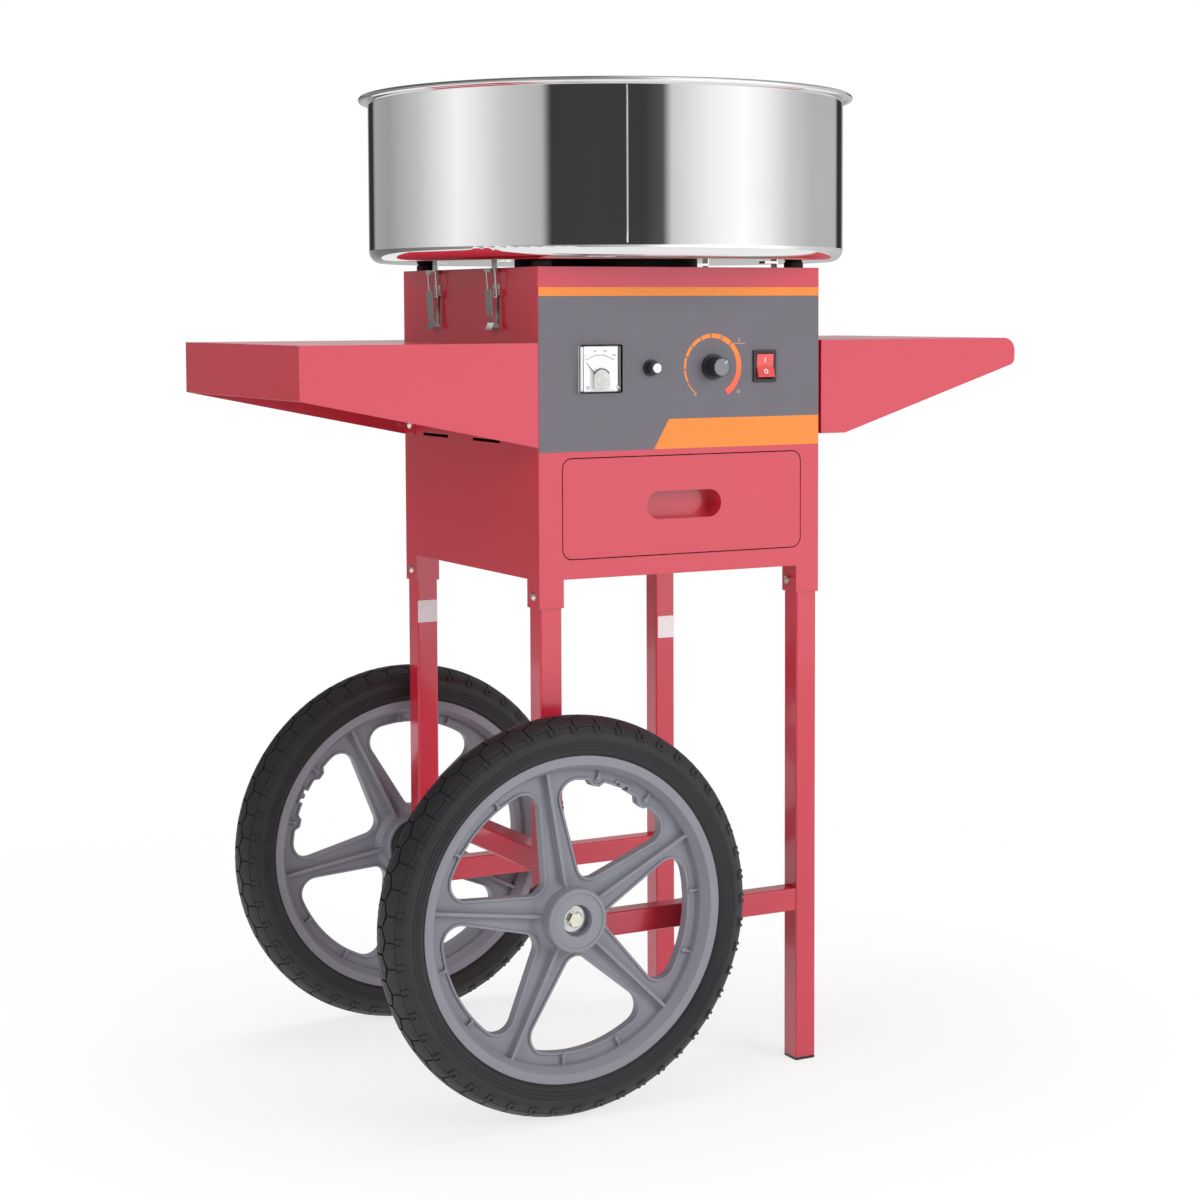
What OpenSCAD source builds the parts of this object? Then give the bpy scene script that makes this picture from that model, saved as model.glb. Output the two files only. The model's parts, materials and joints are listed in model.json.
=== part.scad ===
// Cotton candy cart: a spinning-head floss machine with a lift-off bowl on a
// sheet-metal cabinet, two folded shelves, a four-leg frame and two big wheels.
// The control panel faces -Y, the wheels are on the -X side, and Z is up from the floor.

/* [Cabinet] */
// Cabinet width, along X
cab_w = 325; // [300:1:360]
// Cabinet depth, along Y
cab_d = 325; // [300:1:360]
// Height of the cabinet's walls
cab_h = 308; // [290:1:340]
// Height of the walls' lower edge above the floor
cab_low = 524; // [500:1:540]
// Thickness of the folded sheet
sheet = 1.2; // [0.8:0.1:2]
// How far the corner sleeves reach below the panels
sleeve_drop = 28; // [20:1:40]
// Length of each slot in the side panels
vent_len = 65; // [40:1:75]
// Height of each slot
vent_h = 3.2; // [2:0.1:5]
// Distance of the slots below the cabinet's top
vent_below_top = 174.7; // [165:1:180]

/* [Frame] */
// Outer width of the square leg tube
leg_w = 24; // [20:1:28]
// Wall of the leg tube
leg_wall = 1.5; // [1:0.1:2.5]
// How far the legs go up into the corner sleeves
leg_insert = 42; // [30:1:50]
// Height of the cross braces above the floor
brace_low = 160; // [145:1:165]
// Height of the side brace above the floor
side_brace_low = 230.5; // [220:1:300]
// Height of the brace tube
brace_h = 24; // [20:1:24]
// Width of the brace tube
brace_w = 22; // [18:1:22]
// Thickness of the plastic caps under the legs
cap_t = 3; // [2:0.5:6]

/* [Wheels] */
// Radius of the rim's lips
rim_r = 161; // [158:1:164]
// Height of the tyre over the rim's lips
tyre_h = 37; // [35:1:43]
// Width of the rim
rim_w = 44; // [40:1:48]
// Width of the tyre
tyre_w = 54; // [50:1:58]
// Length of the spacer between each wheel and its leg
spacer_len = 8.7; // [7.7:0.1:17.7]
// Distance from the cabinet's middle to the wheel bolts, along X
wheel_x = 153; // [149:1:153]
// Radius of the wheel bolts
axle_r = 4; // [3:0.5:5]
// Number of spokes
spokes = 5; // [4:1:6]
// Tread blocks round each ring of the tyre
tread_blocks = 48; // [36:2:60]
// Depth of the grooves between the tread blocks
tread_depth = 2.5; // [1:0.5:4]
// Width of the grooves between the tread blocks
groove_w = 2.2; // [1:0.2:4]

/* [Shelves] */
// Distance of the shelves below the cabinet's top
shelf_drop = 74.5; // [60:0.5:92]
// Reach of the square shelf out from the cabinet
left_reach = 248; // [200:1:300]
// Reach of the round-nosed shelf out from the cabinet
right_reach = 253; // [210:1:300]
// Depth of the left shelf's side at the cabinet
left_root = 102.5; // [90:0.5:110]
// Depth of the left shelf's outer edge
left_edge = 52; // [40:1:60]
// Depth of the right shelf's side at the cabinet
right_root = 97; // [90:0.5:105]
// Depth of the right shelf's nose
right_edge = 29.5; // [27:0.5:40]
// Gap between the cabinet and the right shelf
right_gap = 3.5; // [2:0.5:6]

/* [Bowl] */
// Outer radius of the bowl's wall
bowl_r = 250; // [240:1:260]
// How far the bowl's rolled rim stands out from its wall
rim_reach = 10; // [8:0.5:14]
// Height of the bowl
bowl_h = 173; // [150:1:200]
// Thickness of the bowl's sheet
bowl_t = 1; // [0.8:0.1:1.5]
// Radius of the bend between floor and wall
bowl_bend = 13; // [8:1:20]
// Height of the rubber feet under the bowl
foot_h = 7; // [6:0.5:7]
// Radius of the rolled bead
bead_r = 3; // [2:0.5:4]

/* [Spinner] */
// Radius of the spinning head
head_r = 66; // [55:1:75]
// Height of the spinning head's underside above the bowl's floor
head_lift = 30; // [28:1:40]
// Height of the slotted heater band
band_h = 25; // [18:1:34]
// Number of slots in the heater band
band_slots = 36; // [20:2:48]
// Radius of the motor's shaft
shaft_r = 6; // [4:0.5:8]
// Radius of the motor
motor_r = 46; // [38:1:50]
// Height of the motor
motor_h = 90; // [70:1:92]

/* [Drawer] */
// Width of the drawer's front
drawer_w = 276; // [240:1:276]
// Height of the drawer's front
drawer_h = 99; // [90:1:99]
// Height of the drawer's middle above the walls' lower edge
drawer_up = 69.5; // [68:0.5:76]
// Sideways offset of the drawer
drawer_x = 2; // [0:0.5:2]
// Corner radius of the drawer's front
drawer_corner = 10; // [6:1:14]
// Depth of the drawer's tray
tray_len = 280; // [200:1:284]
// Width of the hand slot
slot_w = 86; // [70:1:100]
// Height of the hand slot
slot_h = 28; // [24:1:32]
// Depth of the finger cup behind the slot
cup_depth = 20; // [14:1:24]

/* [Controls] */
// Distance of the row of controls below the printed film's upper edge
row_drop = 80.5; // [74:0.5:86]
// Width of the voltmeter
meter_w = 44.5; // [40:0.5:50]
// Height of the voltmeter
meter_h = 48; // [44:0.5:52]
// How far the voltmeter stands out
meter_out = 10; // [8:0.5:14]
// Position of the voltmeter, from the cabinet's middle
meter_x = -96.5; // [-100:0.5:-90]
// Position of the fuse holder
fuse_x = -37; // [-45:0.5:-30]
// Position of the heat knob
knob_x = 35; // [30:0.5:40]
// Radius of the knob's skirt
knob_r = 13; // [11:0.5:15]
// Height of the knob
knob_h = 18; // [14:0.5:22]
// Position of the switch
switch_x = 96; // [90:0.5:100]
// Width of the switch's bezel
switch_w = 27; // [25:0.5:30]
// Height of the switch's bezel
switch_h = 33; // [32:0.5:36]
// Distance of the printed film's lower edge above the walls' lower edge
film_up = 126; // [122:0.5:131]
// Distance of the printed film's upper edge below the cabinet's top
film_drop = 20; // [17:0.5:27]

/* [Latches] */
// Distance of each latch from the cabinet's middle plane
latch_y = 72; // [50:1:90]
// Width of a lever
lever_w = 15; // [13:0.5:18]
// Length of a lever below its pivot
lever_len = 38; // [35:0.5:42]
// Distance of a lever's pivot from the wall
pivot_out = 5.5; // [5.4:0.1:6]
// Distance of the bail's pivot from the lever's pivot
bail_arm = 5; // [4:0.5:5]
// Radius of the bail's wire
wire_r = 1.25; // [1:0.05:1.5]

/* [Hidden] */
$fn = 96;

red = [0.72, 0.12, 0.18];
steel = [0.78, 0.79, 0.80];
zinc = [0.82, 0.80, 0.72];
black = [0.09, 0.09, 0.10];
wheel_grey = [0.50, 0.51, 0.54];
rubber_grey = [0.15, 0.15, 0.16];
copper = [0.72, 0.45, 0.25];

// Clearances: seat is between parts that rest on each other, run is radial in a running fit
seat = 0.3;
run = 0.05;
hole_slack = 0.25;
eps = 1;

cab_top = cab_low + cab_h;
half_w = cab_w / 2;
half_d = cab_d / 2;
shelf_top = cab_top - shelf_drop;
drawer_z = cab_low + drawer_up;
film_low = cab_low + film_up;
film_top = cab_top - film_drop;
row_z = film_top - row_drop;
rim_bead_r = bowl_r + rim_reach;
// The origin is under the middle of the whole cart, so the cabinet stands a little off it
frame_x = (left_reach - right_reach) / 2;

// Bends at the nose of the right shelf
nose_r = 14;
chin_r = 8;

// Frame
sleeve_low = cab_low - sleeve_drop;
leg_out_x = half_w - sheet - seat;
leg_out_y = half_d - sheet - seat;
leg_x = leg_out_x - leg_w / 2;
leg_y = leg_out_y - leg_w / 2;
bracket_in = leg_w + 2 * seat + 2 * sheet;
leg_top = sleeve_low + leg_insert;
bracket_over = 2;
bracket_top = leg_top + bracket_over;
bolt_up = 12;
left_leg_low = brace_low;
leg_corner = 2;
brace_z = brace_low + brace_h / 2;
side_brace_z = side_brace_low + brace_h / 2;
brace_len_x = 2 * (leg_x - leg_w / 2);
brace_len_y = 2 * (leg_y - leg_w / 2);
brace_end = 3;
bolt_r = 2.5;
brace_bolt_r = 3;
leg_bolt_z = sleeve_low + bolt_up;
nut_t = 4;
nut_flat = 8;
plug_h = 6;

// Wheels
tyre_r = rim_r + tyre_h;
axle_z = tyre_r;
hub_r = 31.5;
hub_half = 27;
hub_edge = 1.5;
hub_disc_r = 27.4;
pocket_r = 15.5;
pocket_floor = hub_half - 12;
race_r = 13;
race_t = 1.4;
bush_r = 10.8;
bush_top = hub_half - 9;
cup_r = 8.9;
cup_floor = bush_top - 3;
washer_r = 7.8;
washer_t = 1.6;
hex_flat = 13;
head_t = 5.3;
web_half = 4;
border_half = 5.5;
border_w = 2.4;
rib_half = 12;
rib_w = 3.6;
nub_w = 2.4;
nub_r = 2.2;
nub_angle = 12.5;
lip_in = rim_r - 9;
barrel_r = rim_r - 15;
seat_r = rim_r - 7;
gap_out = rim_r - 26.5;
gap_tip = 34;
gap_half_angle = 41.3;
gap_tip_round = 14;
gap_round = 17;
pad_depth = 5;
pad_tip = 4;
pad_root = 14;
notch_w = 14;
notch_depth = 4;
bump_r = 3.5;
front_spoke = 27.7;
back_spoke = 117;
wheel_nut_t = 6.8;
spacer_r = 28;
wheel_y = leg_out_y + spacer_len + seat + hub_half;

// Tyre section
tyre_half = tyre_w / 2;
shoulder_r = tyre_r - 9;
side_low = rim_r + 3;
side_high = shoulder_r - 5;
ridge_h = 0.9;
lug_lean = 36.5;
lug_t = 2.5;

// Bowl
bowl_low = cab_top + foot_h;
bowl_top = bowl_low + bowl_h;
bead_centre = rim_bead_r - bead_r;
collar_r = 40;
collar_h = 24;
deck_hole_r = 42;
gasket_r = 97;
foot_r = 10;
foot_x = half_w - 16.5;
foot_y = half_d - 22.5;

// Spinner
head_low = bowl_low + head_lift;
plate_t = 4;
band_low = head_low + plate_t;
band_r = head_r - 3;
band_t = 1.6;
cap_low = band_low + band_h;
cap_h = 6;
cap_hole_r = 28;
funnel_drop = 10;
boss_r = 14;
boss_h = 16;
shaft_top = head_low + boss_h;
bracket_drop = 54;
motor_top = cab_top - sheet - bracket_drop;
motor_low = motor_top - motor_h;
bracket_half = 55;
bracket_w = 90;
bracket_flange = 20;
ring_r = 15;
ring_t = 6;
ring_low = motor_top + 14;
ring_pitch = 14;
sleeve_r = 10;

// Drawer
drawer_gap = 1;
tray_w = drawer_w - 14;
tray_h = drawer_h - 11;
tray_low = drawer_z - drawer_h / 2 + 5;
tray_y = -half_d + sheet;
rail_t = sheet;
rail_len = 2 * (leg_y - leg_w / 2 - 6);
rail_lip = 12;
rail_lip_gap = 1;
rail_under = 8;
cup_wall = 1;

// Controls: the film lies on the front panel, and each control seats on the film
film_t = 0.4;
film_y = -half_d - film_t;
barrel_meter_r = 18;
meter_back = 2.5;
meter_wall = 1.6;
dial_t = 0.8;
needle_z = row_z - 12;
needle_len = 24;
needle_rest = 40;
fuse_flange_r = 8.3;
fuse_neck_r = 6.2;
fuse_neck = 7.5;
fuse_body_r = 6;
fuse_cap_r = 4.7;
fuse_out = 14;
fuse_stem_r = 4;
pot_r = 12;
pot_depth = 14;
pot_neck_r = 4;
pot_shaft_r = 3;
grip_r = 10;
knob_rest = 45;
knob_flutes = 24;
flute_r = 0.9;
switch_body_w = 21.5;
switch_body_h = 27.5;
switch_depth = 24;
bezel_t = 2;
rocker_w = 19.6;
rocker_half = 12.2;
rocker_rest = 8;
well_half_w = 10.2;
well_half_h = 13.2;
well_depth = 9;
gland_x = 100;
gland_z = 600;
gland_r = 4;
gland_flange_r = 11;
gland_neck_r = 8;
gland_len = 14;
gland_lip = 3;

// Latches, drawn for the -X wall and mirrored
wall_x = -half_w;
pivot_x = wall_x - pivot_out;
pivot_z = cab_top - 24;
bail_z = pivot_z - bail_arm;
wire_x = wall_x - 7.5;
wire_z = cab_top - 1.5;
pin_r = 1.5;
ear_r = 3.4;
ear_shoulder = 2;
ear_in = lever_w / 2 - 2.3;
ear_t = 1;
side_t = 1;
side_y = lever_w / 2;
bail_y = side_y + 1 + wire_r;
catch_w = 12;

// Moves a part drawn about the cabinet's middle into the cart's own frame
module placed() translate([frame_x, 0, 0]) children();

// Draws a flat outline in X and Z, from the plane y towards the front
module facing_front(y) translate([0, y, 0]) rotate([90, 0, 0]) children();

// Draws a flat outline in Y and Z, from the plane x towards +X
module facing_side(x) translate([x, 0, 0]) rotate([90, 0, 90]) children();

// A cylinder from y0 towards the front, along -Y
module rod_y(x, y0, z, r, len) translate([x, y0, z]) rotate([90, 0, 0]) cylinder(r = r, h = len);

// A cylinder from x0 along +X
module rod_x(x0, y, z, r, len) translate([x0, y, z]) rotate([0, 90, 0]) cylinder(r = r, h = len);

// A rectangle with round corners, centred
module round_rect(w, h, r) {
    square([w - 2 * r, h], center = true);
    square([w, h - 2 * r], center = true);
    for (sx = [-1, 1], sy = [-1, 1])
        translate([sx * (w / 2 - r), sy * (h / 2 - r)])
            circle(r = r);
}

// A hexagon measured across its flats
module hexagon(flat) circle(r = flat / sqrt(3), $fn = 6);

module four_corners(x, y) {
    for (sx = [-1, 1], sy = [-1, 1])
        translate([sx * x, sy * y, 0])
            children();
}

// The wall outline shared by all four sides, with a tab at each lower corner for the leg sleeves
module wall_outline(half, tab) {
    translate([-half, cab_low])
        square([2 * half, cab_top - cab_low]);
    for (s = [-1, 1])
        translate([s > 0 ? half - tab : -half, sleeve_low])
            square([tab, sleeve_drop]);
}

// Cabinet sheets

module front_panel() {
    color(red) placed() facing_front(-half_d + sheet) linear_extrude(sheet) difference() {
        wall_outline(half_w, bracket_in);
        translate([drawer_x, drawer_z])
            round_rect(drawer_w + 2 * drawer_gap, drawer_h + 2 * drawer_gap, drawer_corner + drawer_gap);
        translate([meter_x, row_z])
            circle(r = barrel_meter_r + hole_slack);
        translate([fuse_x, row_z])
            circle(r = fuse_body_r + hole_slack);
        translate([knob_x, row_z])
            circle(r = pot_neck_r + hole_slack);
        translate([switch_x, row_z])
            square([switch_body_w + 2 * hole_slack, switch_body_h + 2 * hole_slack], center = true);
    }
}

module back_panel() {
    color(red) placed() facing_front(half_d) linear_extrude(sheet) difference() {
        wall_outline(half_w, bracket_in);
        translate([gland_x, gland_z])
            circle(r = gland_neck_r + hole_slack);
        for (row = [0:3], s = [-1, 1])
            translate([s * (vent_len / 2 + 20), cab_top - 60 - 12 * row])
                round_rect(vent_len, vent_h, vent_h / 2 - 0.01);
    }
}

module side_panel(side) {
    placed() facing_side(side > 0 ? half_w - sheet : -half_w) linear_extrude(sheet) difference() {
        wall_outline(half_d - sheet, bracket_in - sheet);
        for (y = [82, -43])
            translate([y, cab_top - vent_below_top])
                round_rect(vent_len, vent_h, vent_h / 2 - 0.01);
        for (s = [-1, 1])
            translate([s * leg_y, leg_bolt_z])
                circle(r = bolt_r + hole_slack);
    }
}

module left_side_panel() color(red) side_panel(-1);

module right_side_panel() color(red) side_panel(1);

module top_deck() {
    color(red) placed() translate([0, 0, cab_top - sheet]) linear_extrude(sheet) difference() {
        square([cab_w - 2 * sheet, cab_d - 2 * sheet], center = true);
        circle(r = deck_hole_r);
    }
}

module base_pan() {
    corner = bracket_in + sheet;
    color(red) placed() translate([0, 0, cab_low]) linear_extrude(sheet) difference() {
        square([cab_w - 2 * sheet, cab_d - 2 * sheet], center = true);
        four_corners(half_w, half_d)
            square(2 * corner, center = true);
    }
}

// Inner angle that closes each corner sleeve round its leg
module leg_brackets() {
    inner = bracket_in;
    color(red) placed() for (sx = [0, 1], sy = [0, 1]) mirror([sx, 0, 0]) mirror([0, sy, 0])
        translate([half_w - inner, half_d - inner, sleeve_low]) difference() {
            cube([inner - sheet, inner - sheet, bracket_top - sleeve_low]);
            translate([sheet, sheet, -eps])
                cube([inner, inner, bracket_top - sleeve_low + 2 * eps]);
            rod_x(-eps, leg_y - half_d + inner, leg_bolt_z - sleeve_low, bolt_r + hole_slack, sheet + 2 * eps);
        }
}

// Runner under each side of the drawer's tray, with a lip that guides it
module drawer_rails() {
    tray_side = tray_w / 2;
    color(steel) placed() for (s = [-1, 1]) {
        wall = half_w - sheet;
        side_in = tray_side + rail_lip_gap + s * drawer_x;
        span = wall - side_in + rail_under;
        mirror([s > 0 ? 0 : 1, 0, 0]) translate([0, rail_len / 2, tray_low - seat - rail_t]) rotate([90, 0, 0])
            linear_extrude(rail_len) {
                translate([wall - span, 0])
                    square([span, rail_t]);
                translate([side_in, 0])
                    square([rail_t, rail_lip]);
                translate([wall - rail_t, 0])
                    square([rail_t, rail_lip + 10]);
            }
    }
}

// Drawer

module drawer_front() {
    color(red) placed() translate([drawer_x, 0, drawer_z]) {
        facing_front(-half_d + sheet) linear_extrude(sheet) difference() {
            round_rect(drawer_w, drawer_h, drawer_corner);
            round_rect(slot_w, slot_h, slot_h / 2 - 0.01);
        }
        facing_front(-half_d + cup_depth) linear_extrude(cup_depth - sheet) difference() {
            round_rect(slot_w + 2 * cup_wall, slot_h + 2 * cup_wall, slot_h / 2 + cup_wall - 0.01);
            round_rect(slot_w, slot_h, slot_h / 2 - 0.01);
        }
        facing_front(-half_d + cup_depth + cup_wall) linear_extrude(cup_wall)
            round_rect(slot_w + 2 * cup_wall, slot_h + 2 * cup_wall, slot_h / 2 + cup_wall - 0.01);
    }
}

module drawer_tray() {
    clear = cup_wall + seat;
    color(steel) placed() translate([drawer_x, tray_y, tray_low]) difference() {
        translate([-tray_w / 2, 0, 0])
            cube([tray_w, tray_len, tray_h]);
        translate([-tray_w / 2 + sheet, sheet, sheet])
            cube([tray_w - 2 * sheet, tray_len - 2 * sheet, tray_h]);
        translate([0, 0, drawer_z - tray_low]) facing_front(sheet + eps) linear_extrude(sheet + 2 * eps)
            round_rect(slot_w + 2 * clear, slot_h + 2 * clear, slot_h / 2 + clear - 0.01);
    }
}

// Shelves: folded sheet, open underneath, with flanges that bolt to the cabinet

module shelf_flanges(x, root, depth) {
    for (s = [-1, 1])
        translate([x, s > 0 ? depth / 2 - 26 : -depth / 2, shelf_top - root])
            cube([sheet, 26, root]);
    translate([x, -depth / 2, shelf_top - 20])
        cube([sheet, depth, 20]);
}

// Bolt places on a shelf's flanges, near the two ends of each
module shelf_bolt_places(root) {
    for (s = [-1, 1], z = [shelf_top - root + 12, shelf_top - 30])
        translate([0, s * (half_d - 14), z])
            children();
}

module left_shelf() {
    x0 = -half_w - left_reach;
    color(red) placed() difference() {
        facing_front(half_d) linear_extrude(cab_d) polygon([
            [-half_w, shelf_top], [-half_w, shelf_top - left_root],
            [x0, shelf_top - left_edge], [x0, shelf_top],
        ]);
        difference() {
            facing_front(half_d - sheet) linear_extrude(cab_d - 2 * sheet) polygon([
                [-half_w + eps, shelf_top - sheet], [-half_w + eps, cab_low],
                [x0 + sheet, cab_low], [x0 + sheet, shelf_top - sheet],
            ]);
            shelf_flanges(-half_w - sheet, left_root, cab_d);
        }
        shelf_bolt_places(left_root)
            rod_x(-half_w - sheet - eps, 0, 0, brace_bolt_r + hole_slack, sheet + 2 * eps);
    }
}

// Side outline of the round-nosed shelf, drawn smaller by inset
module nose_outline(inset) {
    x0 = half_w + right_gap;
    x1 = half_w + right_reach;
    flat = x0 + 30;
    low = shelf_top - right_root;
    slope = atan2(right_root - right_edge, x1 - chin_r - flat);
    polygon(concat(
        [[x0 - inset, shelf_top - inset]],
        arc([x1 - nose_r, shelf_top - nose_r], nose_r - inset, 90, 0, 12),
        arc([x1 - chin_r, shelf_top - right_edge + chin_r], chin_r - inset, 0, slope - 90, 8),
        [[flat, low], [x0 - inset, low]]
    ));
}

module right_shelf() {
    x0 = half_w + right_gap;
    x1 = half_w + right_reach;
    low = shelf_top - right_root;
    color(red) placed() difference() {
        facing_front(half_d) linear_extrude(cab_d)
            nose_outline(0);
        difference() {
            facing_front(half_d - sheet) linear_extrude(cab_d - 2 * sheet) union() {
                nose_outline(sheet);
                polygon([
                    [x0 - sheet, shelf_top - right_edge], [x1 - 24, shelf_top - right_edge],
                    [x1 - 24, low - 60], [x0 - sheet, low - 60],
                ]);
            }
            shelf_flanges(x0, right_root, cab_d);
        }
        shelf_bolt_places(right_root)
            rod_x(x0 - eps, 0, 0, brace_bolt_r + hole_slack, sheet + 2 * eps);
    }
}

// Legs and braces

module leg_tube(low) {
    translate([0, 0, low]) linear_extrude(leg_top - low) difference() {
        round_rect(leg_w, leg_w, leg_corner);
        round_rect(leg_w - 2 * leg_wall, leg_w - 2 * leg_wall, leg_corner / 2);
    }
}

module leg_holes() {
    span = leg_w + 2 * eps;
    rod_x(-span / 2, 0, leg_bolt_z, bolt_r + hole_slack, span);
    rod_x(-span / 2, 0, brace_z, brace_bolt_r + hole_slack, span);
}

module left_legs() {
    span = leg_w + 2 * eps;
    color(red) placed() for (s = [-1, 1]) translate([-leg_x, s * leg_y, 0]) difference() {
        leg_tube(left_leg_low);
        leg_holes();
        rod_y(leg_x - wheel_x, span / 2, axle_z, axle_r + hole_slack, span);
        rod_y(0, span / 2, side_brace_z, brace_bolt_r + hole_slack, span);
    }
}

module right_legs() {
    color(red) placed() for (s = [-1, 1]) translate([leg_x, s * leg_y, 0]) difference() {
        leg_tube(cap_t);
        leg_holes();
    }
}

// A square tube along X with closed, drilled ends, centred
module brace(len) {
    difference() {
        translate([-len / 2, 0, 0]) rotate([90, 0, 90]) linear_extrude(len)
            round_rect(brace_w, brace_h, leg_corner);
        cube([len - 2 * brace_end, brace_w - 2 * leg_wall, brace_h - 2 * leg_wall], center = true);
        rod_x(-len / 2 - eps, 0, 0, brace_bolt_r + hole_slack, len + 2 * eps);
    }
}

module cross_braces() {
    color(red) placed() for (s = [-1, 1]) translate([0, s * leg_y, brace_z])
        brace(brace_len_x);
}

module side_brace() {
    color(red) placed() translate([-leg_x, 0, side_brace_z]) rotate([0, 0, 90])
        brace(brace_len_y);
}

module leg_cap() {
    linear_extrude(cap_t)
        round_rect(leg_w, leg_w, leg_corner);
    translate([0, 0, cap_t]) linear_extrude(plug_h)
        round_rect(leg_w - 2 * leg_wall - 2 * run, leg_w - 2 * leg_wall - 2 * run, leg_corner / 2);
}

module leg_caps() {
    color(black) placed() for (s = [-1, 1]) {
        translate([leg_x, s * leg_y, 0])
            leg_cap();
        translate([-leg_x, s * leg_y, left_leg_low - cap_t])
            leg_cap();
    }
}

// A button-head bolt along -X: the head's seat is at x = 0 and the shank reaches back by len
module bolt(r, len) {
    rotate([0, 90, 0]) difference() {
        union() {
            translate([0, 0, -len])
                cylinder(r = r, h = len);
            intersection() {
                cylinder(r = 1.9 * r, h = 1.1 * r);
                translate([0, 0, -1.1 * r])
                    sphere(r = 2.2 * r);
            }
        }
        translate([0, 0, 0.4 * r]) linear_extrude(r)
            hexagon(1.25 * r);
    }
}

module frame_bolts() {
    reach = bracket_in + nut_t + 1;
    color(zinc) placed() {
        for (m = [0, 1]) mirror([m, 0, 0]) for (s = [-1, 1]) {
            translate([half_w, s * leg_y, leg_bolt_z])
                bolt(bolt_r, reach);
            translate([leg_out_x, s * leg_y, brace_z])
                bolt(brace_bolt_r, leg_w + brace_end + 4);
        }
        for (s = [0, 1]) mirror([0, s, 0]) translate([-leg_x, leg_out_y, side_brace_z]) rotate([0, 0, 90])
            bolt(brace_bolt_r, leg_w + brace_end + 4);
        shelf_bolt_places(left_root) translate([-half_w - sheet, 0, 0]) mirror([1, 0, 0])
            bolt(brace_bolt_r, sheet);
        shelf_bolt_places(right_root) translate([half_w + right_gap + sheet, 0, 0]) union() {
            bolt(brace_bolt_r, sheet);
            rotate([0, 90, 0]) translate([0, 0, -sheet - right_gap])
                cylinder(r = 2 * brace_bolt_r, h = right_gap);
        }
    }
}

module hex_nuts() {
    color(zinc) placed() {
        for (m = [0, 1]) mirror([m, 0, 0]) for (s = [-1, 1])
            translate([half_w - bracket_in - nut_t, s * leg_y, leg_bolt_z]) rotate([0, 90, 0]) linear_extrude(nut_t)
                difference() {
                    hexagon(nut_flat);
                    circle(r = bolt_r + run);
                }
        for (m = [0, 1]) mirror([0, m, 0]) translate([-wheel_x, -leg_y + leg_w / 2 + wheel_nut_t, axle_z])
            rotate([90, 0, 0]) linear_extrude(wheel_nut_t) difference() {
                hexagon(hex_flat);
                circle(r = axle_r + run);
            }
    }
}

// Wheels: drawn round Z with the outer face up, then turned to run along Y

module wheel_place(side) {
    placed() mirror([0, side > 0 ? 1 : 0, 0]) translate([-wheel_x, -wheel_y, axle_z]) rotate([90, 0, 0])
        children();
}

module wheel_bolts() {
    inner = wheel_y - (leg_y - leg_w / 2) + wheel_nut_t + 3;
    head_z = cup_floor + seat + washer_t;
    color(zinc) for (side = [-1, 1]) wheel_place(side) {
        translate([0, 0, -inner])
            cylinder(r = axle_r, h = inner + head_z);
        translate([0, 0, cup_floor + seat])
            cylinder(r = washer_r, h = washer_t);
        translate([0, 0, head_z]) linear_extrude(head_t)
            hexagon(hex_flat);
    }
}

module wheel_spacers() {
    color(black) for (side = [-1, 1]) wheel_place(side)
        translate([0, 0, -hub_half - seat - spacer_len]) difference() {
            cylinder(r = spacer_r, h = spacer_len);
            translate([0, 0, -eps])
                cylinder(r = axle_r + hole_slack, h = spacer_len + 2 * eps);
        }
}

// The window between two spokes points along +X here: one round tip at the hub, two round
// corners at the rim, and an arc between them. grow draws it larger all round.
function corner_run(rho) =
    let (sx = gap_tip + rho / sin(gap_half_angle), c = cos(gap_half_angle), far = gap_out - rho)
    -sx * c + sqrt(sx * sx * c * c - sx * sx + far * far);

function arc(c, r, a0, a1, n) = [
    for (i = [0:n])
        c + r * [cos(a0 + (a1 - a0) * i / n), sin(a0 + (a1 - a0) * i / n)]
];

module spoke_gap(grow) {
    a = gap_half_angle;
    tip_c = [gap_tip + gap_tip_round / sin(a), 0];
    t = corner_run(gap_round);
    cx = gap_tip + gap_round / sin(a) + t * cos(a);
    cy = t * sin(a);
    spread = atan2(cy, cx);
    corner_r = gap_round + grow;
    polygon(concat(
        arc(tip_c, gap_tip_round + grow, 90 + a, 270 - a, 10),
        arc([cx, -cy], corner_r, -90 - a, -spread, 12),
        arc([0, 0], gap_out + grow, 1 - spread, spread - 1, 24),
        arc([cx, cy], corner_r, spread, 90 + a, 12)
    ));
}

// The window that leaves room to reach a valve: two pads narrow it beside an outward notch
module valve_gap(grow) {
    difference() {
        spoke_gap(grow);
        for (s = [-1, 1]) rotate(s * nub_angle) polygon([
            [gap_out - pad_depth + grow, -pad_tip + grow / 2], [gap_out + pad_depth, -pad_root + grow],
            [gap_out + pad_depth, pad_root - grow], [gap_out - pad_depth + grow, pad_tip - grow / 2],
        ]);
    }
    translate([gap_out - 12, -notch_w / 2 - grow])
        square([12 + notch_depth + grow, notch_w + 2 * grow]);
}

// The rim and hub without windows, turned in one piece
module rim_body() {
    half = rim_w / 2;
    rotate_extrude() polygon([
        [0, -hub_half], [hub_r - hub_edge, -hub_half], [hub_r, hub_edge - hub_half],
        [hub_r, -web_half - 6], [hub_r + 6, -web_half],
        [barrel_r, -web_half], [barrel_r, 11 - half], [lip_in, -half],
        [rim_r, -half], [rim_r, 3 - half], [seat_r, 6 - half], [seat_r, half - 6],
        [rim_r, half - 3], [rim_r, half], [lip_in, half], [barrel_r, half - 11],
        [barrel_r, web_half], [hub_r + 6, web_half], [hub_r, web_half + 6],
        [hub_r, hub_half - hub_edge], [hub_r - hub_edge, hub_half], [0, hub_half],
    ]);
}

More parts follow.
